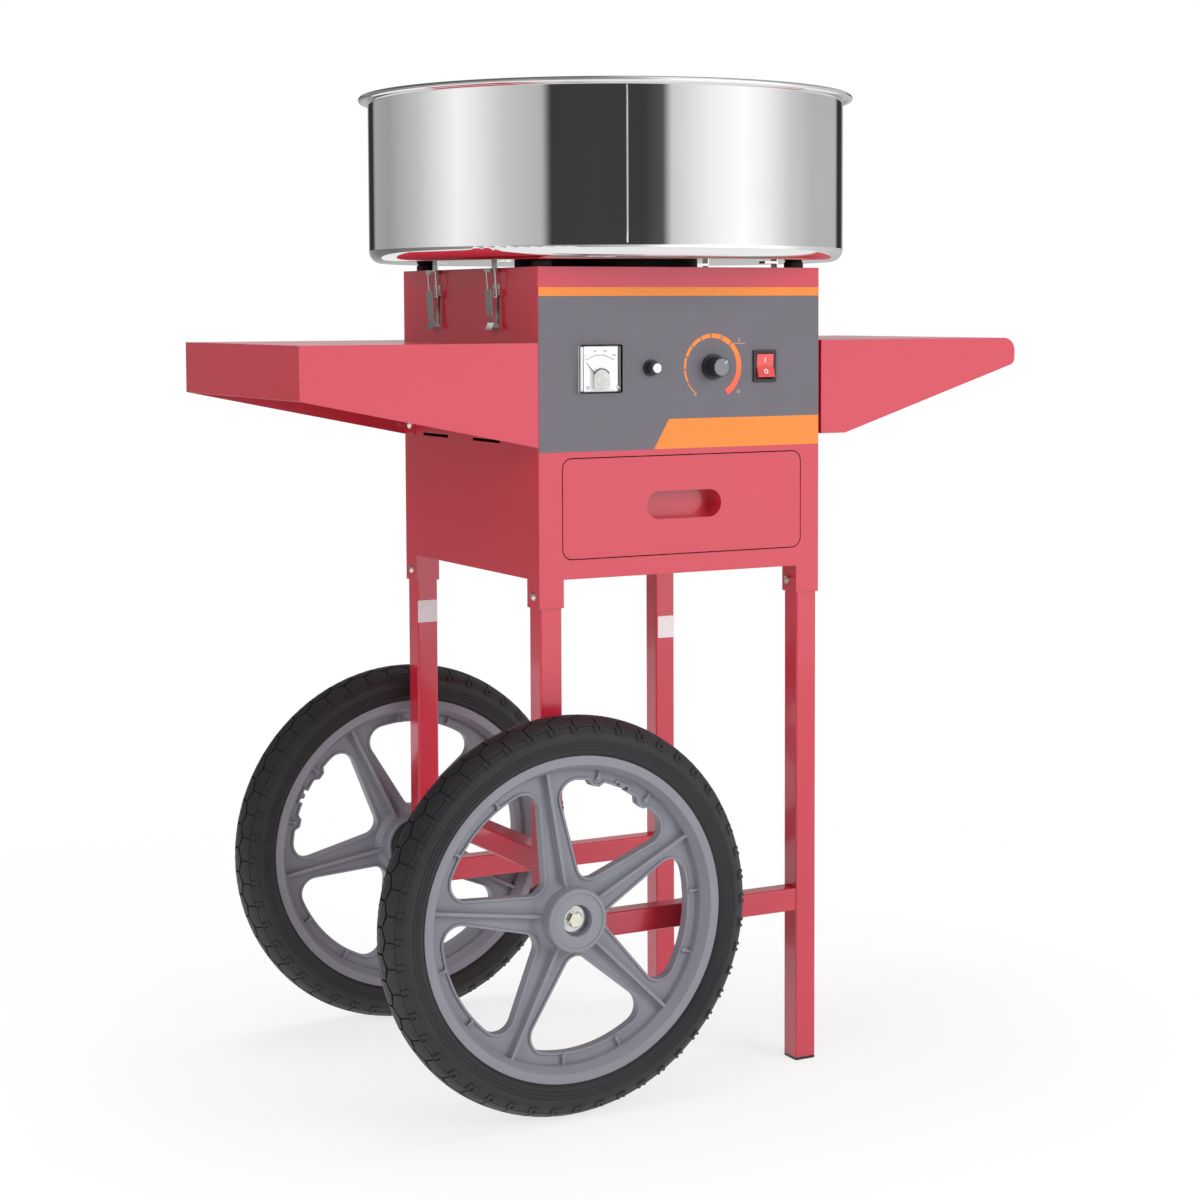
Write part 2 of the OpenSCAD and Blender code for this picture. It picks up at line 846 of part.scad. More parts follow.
// Small upright fin between a window's border and the barrel, with a round end
module nub() {
    end = gap_out + border_w + 0.8;
    tall = border_half + 2.5;
    translate([end, 0, -tall])
        cylinder(r = nub_r, h = 2 * tall);
    translate([end, -nub_w / 2, -tall])
        cube([barrel_r + 1 - end, nub_w, 2 * tall]);
}

module wheel_rim(spoke_angle) {
    pitch = 360 / spokes;
    rotate([0, 0, spoke_angle]) difference() {
        union() {
            rim_body();
            for (k = [0:spokes - 1]) rotate([0, 0, k * pitch]) {
                translate([hub_r - 4, -rib_w / 2, -rib_half])
                    cube([barrel_r + 3 - hub_r + 4, rib_w, 2 * rib_half]);
                rotate([0, 0, pitch / 2]) translate([0, 0, -border_half]) linear_extrude(2 * border_half)
                    if (k == 0) valve_gap(border_w); else spoke_gap(border_w);
                for (s = [-1, 1]) rotate([0, 0, pitch / 2 + s * nub_angle])
                    nub();
            }
        }
        for (k = [0:spokes - 1]) rotate([0, 0, (k + 0.5) * pitch])
            translate([0, 0, -hub_half]) linear_extrude(2 * hub_half) difference() {
                if (k == 0) valve_gap(0); else spoke_gap(0);
                if (k == 0) translate([gap_out + notch_depth, 0])
                    circle(r = bump_r);
            }
        for (m = [0, 1]) mirror([0, 0, m]) {
            translate([0, 0, hub_half - 1])
                cylinder(r = hub_disc_r, h = 2);
            translate([0, 0, pocket_floor])
                cylinder(r = pocket_r, h = hub_half);
        }
        cylinder(r = bush_r + run, h = 3 * hub_half, center = true);
    }
}

module bushing() {
    difference() {
        union() {
            translate([0, 0, -bush_top])
                cylinder(r = bush_r, h = 2 * bush_top);
            translate([0, 0, pocket_floor + seat])
                cylinder(r = race_r, h = race_t);
        }
        cylinder(r = axle_r + run, h = 3 * hub_half, center = true);
        translate([0, 0, cup_floor])
            cylinder(r = cup_r, h = hub_half);
    }
}

// Half of the tyre's section from its crown round to the bead, as distances from the axle and
// from the middle plane. cut lowers the crown by the depth of the tread.
function tyre_side(cut) = let (half = rim_w / 2, span = side_high - side_low) concat(
    [[tyre_r - cut, 0], [tyre_r - 1.2 - cut, 8], [tyre_r - 4.5 - cut, 15]],
    [[shoulder_r, tyre_half - 5.5], [side_high, tyre_half - 1.8], [side_high - 0.3 * span, tyre_half]],
    [for (u = [0.52, 0.34, 0.16], e = [1, 0, -1])
        [side_low + (u + 0.05 * e) * span, tyre_half - 1.7 * (1 - u) + (e == 0 ? ridge_h : 0)]],
    [[side_low, tyre_half - 2.6], [rim_r + seat, half - 0.5], [rim_r + seat, half - 3.4],
        [seat_r + seat, half - 6.4]]
);

function tyre_section(cut) = let (side = tyre_side(cut), n = len(side)) concat(
    side, [for (i = [n - 1:-1:1]) [side[i][0], -side[i][1]]]
);

// One block of the tread: a flat outline across the tyre that stands out along its radius
module tread_block(angle, outline) {
    rotate([0, 0, angle]) translate([shoulder_r - 1, 0, 0]) rotate([90, 0, 90]) linear_extrude(12)
        polygon(outline);
}

// Three interlocking rings of six-sided blocks, with zigzag grooves between them
module tread() {
    step = 360 / tread_blocks;
    a = PI * tyre_r / tread_blocks - groove_w / 2;
    inner = 4.5;
    outer = 8.5;
    gap = groove_w;
    for (k = [0:tread_blocks - 1]) {
        tread_block(k * step, [
            [-a, -inner], [0, -outer], [a, -inner], [a, inner], [0, outer], [-a, inner],
        ]);
        for (m = [0, 1]) mirror([0, 0, m]) tread_block((k + 0.5) * step, [
            [-a, outer + gap], [0, inner + gap], [a, outer + gap],
            [a, tyre_half - 8], [-a, tyre_half - 8],
        ]);
    }
}

// Open square lugs that lean with the shoulder
module shoulder_lugs() {
    step = 360 / tread_blocks;
    for (m = [0, 1], k = [0:tread_blocks - 1]) mirror([0, 0, m]) rotate([0, 0, k * step])
        translate([shoulder_r - 2.2, 0, tyre_half - 3.8]) rotate([0, lug_lean, 0])
            translate([0, 0, -lug_t / 2]) linear_extrude(lug_t) polygon([
                [4, -4.5], [-4, -4.5], [-4, 4.5], [4, 4.5], [4, 1.8], [-1.5, 1.8],
                [-1.5, -1.8], [4, -1.8],
            ]);
}

module tyre() {
    union() {
        rotate_extrude()
            polygon(tyre_section(tread_depth));
        intersection() {
            rotate_extrude() intersection() {
                polygon(tyre_section(0));
                translate([shoulder_r - 2, -tyre_half])
                    square([20, 2 * tyre_half]);
            }
            tread();
        }
        shoulder_lugs();
    }
}

module front_wheel_rim() color(wheel_grey) wheel_place(-1) wheel_rim(front_spoke);

module front_tyre() color(rubber_grey) wheel_place(-1) tyre();

module front_bushing() color(zinc) wheel_place(-1) bushing();

module back_wheel_rim() color(wheel_grey) wheel_place(1) wheel_rim(back_spoke);

module back_tyre() color(rubber_grey) wheel_place(1) tyre();

module back_bushing() color(zinc) wheel_place(1) bushing();

// Bowl

// A quarter of a ring of thickness t in the chosen quadrant, for bends in a revolved profile
module quarter_ring(r, t, qx, qy) {
    intersection() {
        difference() {
            circle(r = r);
            circle(r = r - t);
        }
        translate([qx > 0 ? 0 : -2 * r, qy > 0 ? 0 : -2 * r])
            square(2 * r);
    }
}

module bowl() {
    flange_z = bowl_h - bead_r;
    color(steel) placed() translate([0, 0, bowl_low]) rotate_extrude($fn = 180) {
        translate([collar_r, 0])
            square([bowl_r - bowl_bend - collar_r, bowl_t]);
        translate([collar_r, 0])
            square([bowl_t, collar_h]);
        translate([bowl_r - bowl_bend, bowl_bend])
            quarter_ring(bowl_bend, bowl_t, 1, -1);
        translate([bowl_r - bowl_t, bowl_bend])
            square([bowl_t, flange_z - bowl_bend + bowl_t / 2]);
        translate([bowl_r - bowl_t, flange_z - bowl_t / 2])
            square([bead_centre - bowl_r + bowl_t, bowl_t]);
        translate([bead_centre, flange_z])
            circle(r = bead_r);
    }
}

module bowl_feet() {
    color(black) placed() four_corners(foot_x, foot_y) translate([0, 0, cab_top]) {
        cylinder(r = foot_r, h = foot_h - 2);
        translate([0, 0, foot_h - 2])
            cylinder(r1 = foot_r, r2 = foot_r - 1.5, h = 2);
    }
}

module bowl_gasket() {
    color(black) placed() translate([0, 0, cab_top]) difference() {
        cylinder(r = gasket_r, h = foot_h);
        translate([0, 0, -eps])
            cylinder(r = deck_hole_r, h = foot_h + 2 * eps);
    }
}

// Hooks under the bowl, open at the top, that the bails pull down on
module bowl_catches() {
    back = wire_x + 4.1;
    tip = wire_x - 4;
    floor_z = wire_z - wire_r - seat - sheet;
    lip_z = wire_z + 1;
    plate_in = back + 16;
    color(steel) placed() for (m = [0, 1]) mirror([m, 0, 0]) for (s = [-1, 1])
        translate([0, s * latch_y + catch_w / 2, 0]) rotate([90, 0, 0]) linear_extrude(catch_w) polygon([
            [plate_in, bowl_low], [plate_in, bowl_low - sheet],
            [back + sheet, bowl_low - sheet], [back + sheet, floor_z],
            [tip, floor_z], [tip, lip_z], [tip + sheet, lip_z], [tip + sheet, floor_z + sheet],
            [back, floor_z + sheet], [back, bowl_low],
        ]);
}

// Spinner and its drive

module spinner_head() {
    color(steel) placed() translate([0, 0, head_low]) difference() {
        union() {
            cylinder(r = head_r, h = plate_t);
            cylinder(r = boss_r, h = boss_h);
            translate([0, 0, plate_t])
                cylinder(r1 = boss_r + 12, r2 = boss_r, h = 6);
        }
        translate([0, 0, -eps])
            cylinder(r = shaft_r + run, h = boss_h + 2 * eps);
    }
}

module heater_band() {
    color(steel) placed() translate([0, 0, band_low]) difference() {
        cylinder(r = band_r, h = band_h);
        translate([0, 0, -eps])
            cylinder(r = band_r - band_t, h = band_h + 2 * eps);
        for (k = [0:band_slots - 1]) rotate([0, 0, k * 360 / band_slots])
            translate([band_r - band_t - eps, -1, 4])
                cube([band_t + 2 * eps, 2, band_h - 8]);
    }
}

module spinner_cap() {
    color(steel) placed() translate([0, 0, cap_low]) rotate_extrude() polygon([
        [cap_hole_r - 1.5, -funnel_drop], [cap_hole_r + 0.5, -funnel_drop], [cap_hole_r + 2, 0],
        [head_r, 0], [head_r, cap_h - 2], [head_r - 2, cap_h], [cap_hole_r + 4, cap_h],
        [cap_hole_r, cap_h - 4],
    ]);
}

module drive_shaft() {
    low = motor_low + 16;
    color(steel) placed() translate([0, 0, low])
        cylinder(r = shaft_r, h = shaft_top - low);
}

module slip_rings() {
    color(copper) placed() translate([0, 0, ring_low]) difference() {
        union() {
            translate([0, 0, -4])
                cylinder(r = sleeve_r, h = ring_pitch + ring_t + 8);
            for (k = [0, 1])
                translate([0, 0, k * ring_pitch])
                    cylinder(r = ring_r, h = ring_t);
        }
        cylinder(r = shaft_r + run, h = 100, center = true);
    }
}

module brush_holder() {
    x0 = ring_r + seat;
    x1 = bracket_half - 2;
    color(black) placed() union() {
        translate([x0 + 12, -12, ring_low - 4])
            cube([x1 - x0 - 12, 24, ring_pitch + ring_t + 8]);
        for (k = [0, 1])
            translate([x0, -4, ring_low + k * ring_pitch])
                cube([14, 8, ring_t]);
    }
}

module motor() {
    color(steel) placed() translate([0, 0, motor_low]) difference() {
        union() {
            translate([0, 0, 6])
                cylinder(r = motor_r, h = motor_h - 14);
            cylinder(r = motor_r - 6, h = motor_h);
        }
        translate([0, 0, 15])
            cylinder(r = shaft_r + run, h = motor_h);
    }
}

// Bridge that hangs the motor under the deck
module motor_bracket() {
    t = 2;
    top = bracket_drop;
    color(steel) placed() difference() {
        translate([0, bracket_w / 2, motor_top]) rotate([90, 0, 0]) linear_extrude(bracket_w) polygon([
            [-bracket_half, 0], [bracket_half, 0], [bracket_half, top - t],
            [bracket_half + bracket_flange, top - t], [bracket_half + bracket_flange, top],
            [bracket_half - t, top], [bracket_half - t, t], [t - bracket_half, t],
            [t - bracket_half, top], [-bracket_half - bracket_flange, top],
            [-bracket_half - bracket_flange, top - t], [-bracket_half, top - t],
        ]);
        translate([0, 0, motor_top - eps])
            cylinder(r = shaft_r + 6, h = 10);
    }
}

// Controls

module control_overlay() {
    color([0.42, 0.40, 0.44]) placed() facing_front(-half_d) linear_extrude(film_t) difference() {
        translate([-half_w + 0.5, film_low])
            square([cab_w - 1, film_top - film_low]);
        translate([meter_x, row_z])
            circle(r = barrel_meter_r + hole_slack);
        translate([fuse_x, row_z])
            circle(r = fuse_body_r + hole_slack);
        translate([knob_x, row_z])
            circle(r = pot_neck_r + hole_slack);
        translate([switch_x, row_z])
            square([switch_body_w + 2 * hole_slack, switch_body_h + 2 * hole_slack], center = true);
    }
}

module voltmeter_case() {
    color([0.85, 0.85, 0.84]) placed() translate([meter_x, 0, row_z]) {
        facing_front(film_y) linear_extrude(meter_back)
            round_rect(meter_w, meter_h, 2);
        rod_y(0, film_y + 30, 0, barrel_meter_r, 30);
    }
}

module voltmeter_dial() {
    color("white") placed() translate([meter_x, 0, row_z]) facing_front(film_y - meter_back)
        linear_extrude(dial_t)
            round_rect(meter_w - 2 * meter_wall - 1, meter_h - 2 * meter_wall - 1, 1);
}

module voltmeter_window() {
    deep = meter_out - meter_back;
    color([0.9, 0.95, 1, 0.4]) placed() translate([meter_x, 0, row_z]) facing_front(film_y - meter_back)
        difference() {
            linear_extrude(deep)
                round_rect(meter_w, meter_h, 2);
            translate([0, 0, -eps]) linear_extrude(deep - meter_wall + eps)
                round_rect(meter_w - 2 * meter_wall, meter_h - 2 * meter_wall, 1);
        }
}

module voltmeter_needle() {
    y0 = film_y - meter_back - dial_t - seat;
    color("red") placed() translate([meter_x, 0, needle_z]) {
        rod_y(0, y0, 0, 2.2, 2);
        facing_front(y0 - 0.6) linear_extrude(0.6) rotate(90 + needle_rest)
            polygon([[-5, -0.8], [-5, 0.8], [needle_len, 0.3], [needle_len, -0.3]]);
    }
}

module fuse_holder() {
    color(black) placed() translate([fuse_x, 0, row_z]) difference() {
        union() {
            rod_y(0, film_y, 0, fuse_flange_r, 2.6);
            rod_y(0, film_y, 0, fuse_neck_r, fuse_neck);
            rod_y(0, film_y + 32, 0, fuse_body_r, 32);
        }
        rod_y(0, film_y + 20, 0, fuse_stem_r + run, 40);
    }
}

module fuse_cap() {
    y0 = film_y - fuse_neck - seat;
    out = fuse_out - fuse_neck - seat;
    color(steel) placed() translate([fuse_x, 0, row_z]) difference() {
        union() {
            rod_y(0, y0, 0, fuse_cap_r, out);
            rod_y(0, film_y + 15, 0, fuse_stem_r, 15 + fuse_neck + seat + 1);
        }
        translate([-fuse_cap_r - eps, y0 - out - eps, -0.6])
            cube([2 * fuse_cap_r + 2 * eps, 1 + eps, 1.2]);
    }
}

module heat_control() {
    color([0.35, 0.35, 0.37]) placed() translate([knob_x, 0, row_z]) difference() {
        union() {
            rod_y(0, -half_d + sheet + pot_depth, 0, pot_r, pot_depth);
            rod_y(0, -half_d + sheet + 1, 0, pot_neck_r, sheet + film_t + 4);
            facing_front(film_y) linear_extrude(2)
                hexagon(11);
        }
        rod_y(0, 0, 0, pot_shaft_r + run, half_d + 20);
    }
}

module heat_knob() {
    y0 = film_y - seat;
    color(black) placed() translate([knob_x, 0, row_z]) {
        difference() {
            union() {
                rod_y(0, y0, 0, knob_r, 3);
                facing_front(y0 - 3)
                    cylinder(r1 = grip_r, r2 = grip_r - 0.7, h = knob_h - 3);
            }
            rod_y(0, y0 + eps, 0, 8, 5 + eps);
            for (k = [0:knob_flutes - 1]) rotate([0, k * 360 / knob_flutes, 0])
                rod_y(0, y0 - 3 - seat, grip_r + flute_r / 2, flute_r, knob_h);
            rotate([0, knob_rest, 0]) translate([0, y0 - knob_h, grip_r - 3])
                cube([1.2, 1.2, 4], center = true);
        }
        rod_y(0, -half_d + sheet + pot_depth - 2, 0, pot_shaft_r, pot_depth + 10);
    }
}

module switch_body() {
    color(black) placed() translate([switch_x, 0, row_z]) difference() {
        union() {
            facing_front(film_y) linear_extrude(bezel_t)
                round_rect(switch_w, switch_h, 1.5);
            facing_front(film_y + switch_depth) linear_extrude(switch_depth)
                square([switch_body_w, switch_body_h], center = true);
        }
        facing_front(-half_d + well_depth) linear_extrude(well_depth + 10)
            square([2 * well_half_w, 2 * well_half_h], center = true);
        rod_x(-switch_body_w / 2, -half_d, 0, pin_r + run, switch_body_w);
    }
}

// See-saw key on a pin: hollow-faced, tilted so that its upper half is pressed in at rest
module switch_rocker() {
    color("red") placed() translate([switch_x, -half_d, row_z]) rotate([-rocker_rest, 0, 0]) {
        translate([-rocker_w / 2, 0, 0]) rotate([90, 0, 90]) linear_extrude(rocker_w) polygon([
            [5, -9], [5, 9], [-3.6, rocker_half], [-5, rocker_half - 0.5], [-2.4, 0],
            [-5, 0.5 - rocker_half], [-3.6, -rocker_half],
        ]);
        rod_x(seat / 2 - switch_body_w / 2, 0, 0, pin_r, switch_body_w - seat);
    }
}

// Bush in the back panel for the mains cord
module cable_gland() {
    color(black) placed() translate([gland_x, 0, gland_z]) difference() {
        union() {
            rod_y(0, half_d + gland_lip, 0, gland_flange_r, gland_lip);
            rod_y(0, half_d + gland_lip, 0, gland_neck_r, gland_len);
        }
        rod_y(0, half_d + gland_lip + eps, 0, gland_r, gland_len + 2 * eps);
    }
}

// Toggle latches

// Places a latch part drawn at y = 0 on the -X wall
module latch_place(side, s) {
    placed() mirror([side > 0 ? 1 : 0, 0, 0]) translate([0, s * latch_y, 0]) children();
}

// Draws an X and Z outline as a plate, w wide and centred on y
module plate_xz(y, w) translate([0, y + w / 2, 0]) rotate([90, 0, 0]) linear_extrude(w) children();

module latch_base() {
    back = sheet;
    plate_xz(0, lever_w + 1) translate([wall_x - back, pivot_z - lever_len + 2])
        square([back, lever_len + 6]);
    for (s = [-1, 1]) plate_xz(s * (ear_in + ear_t / 2), ear_t) {
        translate([pivot_x, pivot_z - ear_r])
            square([wall_x - pivot_x, ear_r + ear_shoulder]);
        translate([pivot_x, pivot_z])
            circle(r = ear_r);
    }
    rod_y(pivot_x, side_y + 0.4, pivot_z, pin_r, 2 * side_y + 0.8);
}

module latch_bases() {
    color(steel) for (side = [-1, 1], s = [-1, 1]) latch_place(side, s) latch_base();
}

// Channel with a flared finger tip: a face plate and two side cheeks
module latch_lever() {
    face = pivot_x - 5;
    top = pivot_z + 2;
    tip = pivot_z - lever_len;
    bend = tip + 7;
    waist = tip + 16;
    difference() {
        union() {
            plate_xz(0, lever_w) polygon([
                [face, top], [face + sheet, top], [face + 2.6, waist], [face + 4.6, bend],
                [face + 0.6, tip], [face - 0.6, tip], [face + 3.2, bend], [face + 1.3, waist],
            ]);
            for (s = [-1, 1]) plate_xz(s * (side_y - side_t / 2), side_t) polygon([
                [face, top], [pivot_x + 2.2, top], [pivot_x + 2.2, pivot_z - 8],
                [face + 4.8, waist], [face + 5, bend], [face + 3.2, bend], [face + 1.3, waist],
            ]);
        }
        rod_y(pivot_x, lever_w, pivot_z, pin_r + run, 2 * lever_w);
        rod_y(pivot_x, lever_w, bail_z, wire_r + run, 2 * lever_w);
    }
}

// Wire loop: two legs up from the lever's cheeks and a cross wire that lies in the bowl's hook
module latch_bail() {
    dx = wire_x - pivot_x;
    dz = wire_z - bail_z;
    len = sqrt(dx * dx + dz * dz);
    lean = atan2(dx, dz);
    for (s = [-1, 1]) {
        translate([pivot_x, s * bail_y, bail_z]) rotate([0, lean, 0])
            cylinder(r = wire_r, h = len);
        translate([pivot_x, s * bail_y, bail_z])
            sphere(r = wire_r);
        translate([wire_x, s * bail_y, wire_z])
            sphere(r = wire_r);
        translate([pivot_x, s > 0 ? bail_y : side_t - side_y, bail_z]) rotate([90, 0, 0])
            cylinder(r = wire_r, h = bail_y - side_y + side_t);
    }
    translate([wire_x, bail_y, wire_z]) rotate([90, 0, 0])
        cylinder(r = wire_r, h = 2 * bail_y);
}

module latch_lever_front_left() color(steel) latch_place(-1, -1) latch_lever();

module latch_lever_back_left() color(steel) latch_place(-1, 1) latch_lever();

module latch_lever_front_right() color(steel) latch_place(1, -1) latch_lever();

module latch_lever_back_right() color(steel) latch_place(1, 1) latch_lever();

module latch_bail_front_left() color(steel) latch_place(-1, -1) latch_bail();

module latch_bail_back_left() color(steel) latch_place(-1, 1) latch_bail();

module latch_bail_front_right() color(steel) latch_place(1, -1) latch_bail();

module latch_bail_back_right() color(steel) latch_place(1, 1) latch_bail();

front_panel();
left_side_panel();
right_side_panel();
back_panel();
top_deck();
base_pan();
leg_brackets();
drawer_rails();
control_overlay();
cable_gland();
voltmeter_case();
voltmeter_dial();
voltmeter_window();
voltmeter_needle();
fuse_holder();
fuse_cap();
heat_control();
heat_knob();
switch_body();
switch_rocker();
left_shelf();
right_shelf();
bowl();
bowl_feet();
bowl_catches();
bowl_gasket();
motor();
motor_bracket();
brush_holder();
drive_shaft();
slip_rings();
spinner_head();
heater_band();
spinner_cap();
left_legs();
right_legs();
cross_braces();
side_brace();
leg_caps();
wheel_bolts();
hex_nuts();
wheel_spacers();
frame_bolts();
front_wheel_rim();
front_tyre();
front_bushing();
back_wheel_rim();
back_tyre();
back_bushing();
drawer_front();
drawer_tray();
latch_bases();
latch_lever_front_left();
latch_lever_back_left();
latch_lever_front_right();
latch_lever_back_right();
latch_bail_front_left();
latch_bail_back_left();
latch_bail_front_right();
latch_bail_back_right();
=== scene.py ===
import json
import math

import bmesh
import bpy
from mathutils import Matrix, Vector


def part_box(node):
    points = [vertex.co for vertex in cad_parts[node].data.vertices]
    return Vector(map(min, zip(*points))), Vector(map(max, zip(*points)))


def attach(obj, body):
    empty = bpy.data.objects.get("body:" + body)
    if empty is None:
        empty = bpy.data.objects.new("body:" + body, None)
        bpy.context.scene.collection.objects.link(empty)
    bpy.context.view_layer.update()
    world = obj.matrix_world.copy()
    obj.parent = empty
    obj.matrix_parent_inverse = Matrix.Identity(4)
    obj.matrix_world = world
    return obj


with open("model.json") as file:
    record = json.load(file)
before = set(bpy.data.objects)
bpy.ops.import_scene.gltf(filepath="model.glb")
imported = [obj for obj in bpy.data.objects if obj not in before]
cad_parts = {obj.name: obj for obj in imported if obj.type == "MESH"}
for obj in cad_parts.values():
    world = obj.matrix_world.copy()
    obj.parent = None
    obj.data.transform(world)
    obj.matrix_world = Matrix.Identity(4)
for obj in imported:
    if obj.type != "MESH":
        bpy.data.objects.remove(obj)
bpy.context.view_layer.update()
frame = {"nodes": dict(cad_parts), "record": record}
nodes = frame["nodes"]
MM = 0.001

# Camera, fitted to the photograph, in metres and degrees; lens and sensor are in millimetres
CAMERA_AT = (-1.2436, -2.3144, 0.7913)
CAMERA_TURN = -28.093
CAMERA_PITCH = -3.988
CAMERA_ROLL = -0.234
CAMERA_LENS = 73.992
CAMERA_SENSOR = 36
CAMERA_SHIFT = (-0.00166, -0.10)
CAMERA_REACH = 60

# Floor, in metres: it is partly white by itself near the cart, and wholly white past the fade
FLOOR_R, FLOOR_STEPS = 3.0, 96
FLOOR_WHITE = 0.75
FLOOR_FADE = (0.5, 1.5)

# Lamps: name, place, target and size in metres, and power in watts
LAMPS = (
    ("key", (1.5, -3.3, 2.0), (0, 0, 0.5), 2.2, 70),
    ("fill", (-3.2, -1.6, 1.6), (0, 0, 0.5), 2.0, 37),
    ("top", (0, 0.3, 3.2), (0, 0, 0.6), 2.2, 60),
)
SOFT_LIGHT = 0.45

# What shiny surfaces mirror: brightness at degrees round the cart, counted from the camera.
# The belt, just above level, is what the bowl's wall shows; the room is all the rest.
BELT_PEAK = 1.25
BELT = (
    (-180, 0.62), (-172, 0.60), (-163, 0.04), (-152, 0.03), (-147, 0.42), (-126, 0.40),
    (-100, 0.64), (-74, 1.10), (-62, 0.94), (-48, 0.68), (-30, 0.55), (-26, 0.05),
    (-6, 0.055), (18, 0.05), (27, 0.10), (31, 0.72), (50, 1.06), (68, 1.24),
    (82, 1.06), (98, 0.72), (116, 0.55), (145, 0.52), (150, 0.03), (160, 0.04), (168, 0.50),
)
ROOM_PEAK = 1.9
ROOM = (
    (-180, 0.50), (-150, 0.22), (-124, 0.18), (-90, 0.25), (-40, 0.45), (-12, 0.40),
    (15, 0.70), (32, 1.50), (55, 1.85), (80, 1.55), (110, 0.80), (150, 0.60), (180, 0.50),
)

# Ramps by height, 0 level and 1 overhead: low, high, value at low and value at high. The belt's
# share of what is mirrored rises at its foot and falls at its head; the ceiling scales the room.
BELT_FOOT = (0.004, 0.018, 0, 1)
BELT_HEAD = (0.115, 0.16, 1, 0)
CEILING = (0.22, 0.5, 1.9, 1.1)

# Painted highlight on edges, a paler colour where they would catch light: size of its patches,
# least of it in them, and the agreement of the rounded and the plain normal at which it is full
# and at which it ends
HIGHLIGHT_PATCH, HIGHLIGHT_LEAST = 120, 0.3
HIGHLIGHT_FULL, HIGHLIGHT_NONE = 0.86, 0.995

# Printed film on the control panel, in millimetres from the film's own edges
BAND_DEPTH = 8.7
TITLE_DEPTH = 30
TITLE_LEFT = 128.5
TITLE_SLANT = 17.5
PRINT_LIFT = 0.12

# Heat dial round the knob, in millimetres and degrees: steps that swell, then one long band. The
# tick has its two ends, height and thickness, and a number its text and place.
DIAL_OUTER = 33.8
DIAL_START, DIAL_STEP, DIAL_STEPS = 229.0, -22.8, 8
DIAL_GAP = 2.2
DIAL_THIN, DIAL_THICK, DIAL_SWELL = 1.3, 5.2, 0.8
BAND_END, BAND_END_WIDTH, BAND_STEPS = -58, 6.6, 40
BAND_ORANGE_FROM = 0.6
DIAL_TICK = (24.8, 38.5, 23.2, 0.45)
DIAL_NUMBERS = (("0", -20.4, -27.6), ("5", 31.2, 26.6), ("10", 30.0, -25.6))
DIAL_NUMBER_H = 3.7

# Plain numbers: thickness in millimetres, and a digit's height as a share of the font's size
NUMBER_LIFT = 0.06
DIGIT_SHARE = 0.73

# Voltmeter's scale, in millimetres and degrees about the needle's pivot below the card's middle.
# A tick has its reach beyond the scale's radius, and half its width.
SCALE_PIVOT = -12
SCALE_R, SCALE_LINE, SCALE_INK = 25.2, 0.5, 0.05
SCALE_HALF_ANGLE = 36
SCALE_TICKS, TICK_FOOT = 12, 0.4
LONG_TICK, SHORT_TICK = (2.8, 0.22), (1.6, 0.14)
SCALE_NUMBERS = ("0", "100", "200", "300")
SCALE_NUMBER_H, SCALE_NUMBER_OUT, SCALE_NUMBER_INSET = 2.0, 4.6, 4

# Voltmeter's coil cover and screws, in millimetres from the middle of its face. The screws'
# slots slant at 45 degrees, and SLOT_SLANT is the sine and cosine of that.
COIL_HALF, COIL_TOP, COIL_LOW = 8.7, -0.5, -19.5
COIL_T, COIL_CLEAR, COIL_ROUND = 2.0, 0.7, 0.5
COIL_RIM, COIL_RIM_ARC = 1.1, (28, 152)
SCREW_X, SCREW_Z, SCREW_R = 16.8, -18.2, 1.9
SCREW_HEAD = [(0.001, 0.55), (0.9, 0.5), (1.5, 0.34), (SCREW_R, 0.1), (SCREW_R, 0)]
SLOT_SIZE, SLOT_LIFT, SLOT_SLANT = (2.9, 0.45, 0.16), 0.42, 0.7071

# Knob's face and pointer, in millimetres: the pointer's start, end, width and height
KNOB_FACE_R = 8.7
KNOB_FACE = [
    (0.001, 0.06), (KNOB_FACE_R - 1.6, 0.08), (KNOB_FACE_R - 1.0, 0.2),
    (KNOB_FACE_R - 0.4, 0.2), (KNOB_FACE_R, 0.08), (KNOB_FACE_R, 0),
]
POINTER_ANGLE = 45
POINTER = (4.4, 9.1, 1.2, 0.34)

# Rocker's marks, in millimetres from its axis in the panel's plane, and degrees it rests at
ROCKER_REST = 8
ROCKER_RIDGE_Y, ROCKER_TIP_Y, ROCKER_TIP_Z = -2.4, -5.0, 11.7
MARK_T = 0.12
STROKE_HALF_W, STROKE_HALF_H = 0.5, 2.6
RING_INNER, RING_OUTER = 1.5, 2.4

# Bare white labels on the two back legs, in millimetres: name, node, bottom, height, side gaps
LABELS = (
    ("label_left", "left_legs", 450, 24, 0.5, 0.5),
    ("label_right", "right_legs", 413, 25, 2.5, 0.5),
)
LEG_WIDTH = 24
LABEL_CORNER, LABEL_T = 1.0, 0.1

# The bowl's weld seam, in millimetres, at degrees anticlockwise from +X. The wall lies inside
# the rim, and the seam starts above the bowl's bottom and ends under its rim.
SEAM_ANGLE = -113.4
SEAM_WIDTH, SEAM_H, SEAM_SINK = 1.8, 0.1, 0.02
SEAM_PROFILE = ((-1, 0), (-0.6, 1), (0.6, 1), (1, 0))
SEAM_ROWS = 12
BOWL_RIM = 10
SEAM_START, SEAM_END = 15, 7


# Shapes

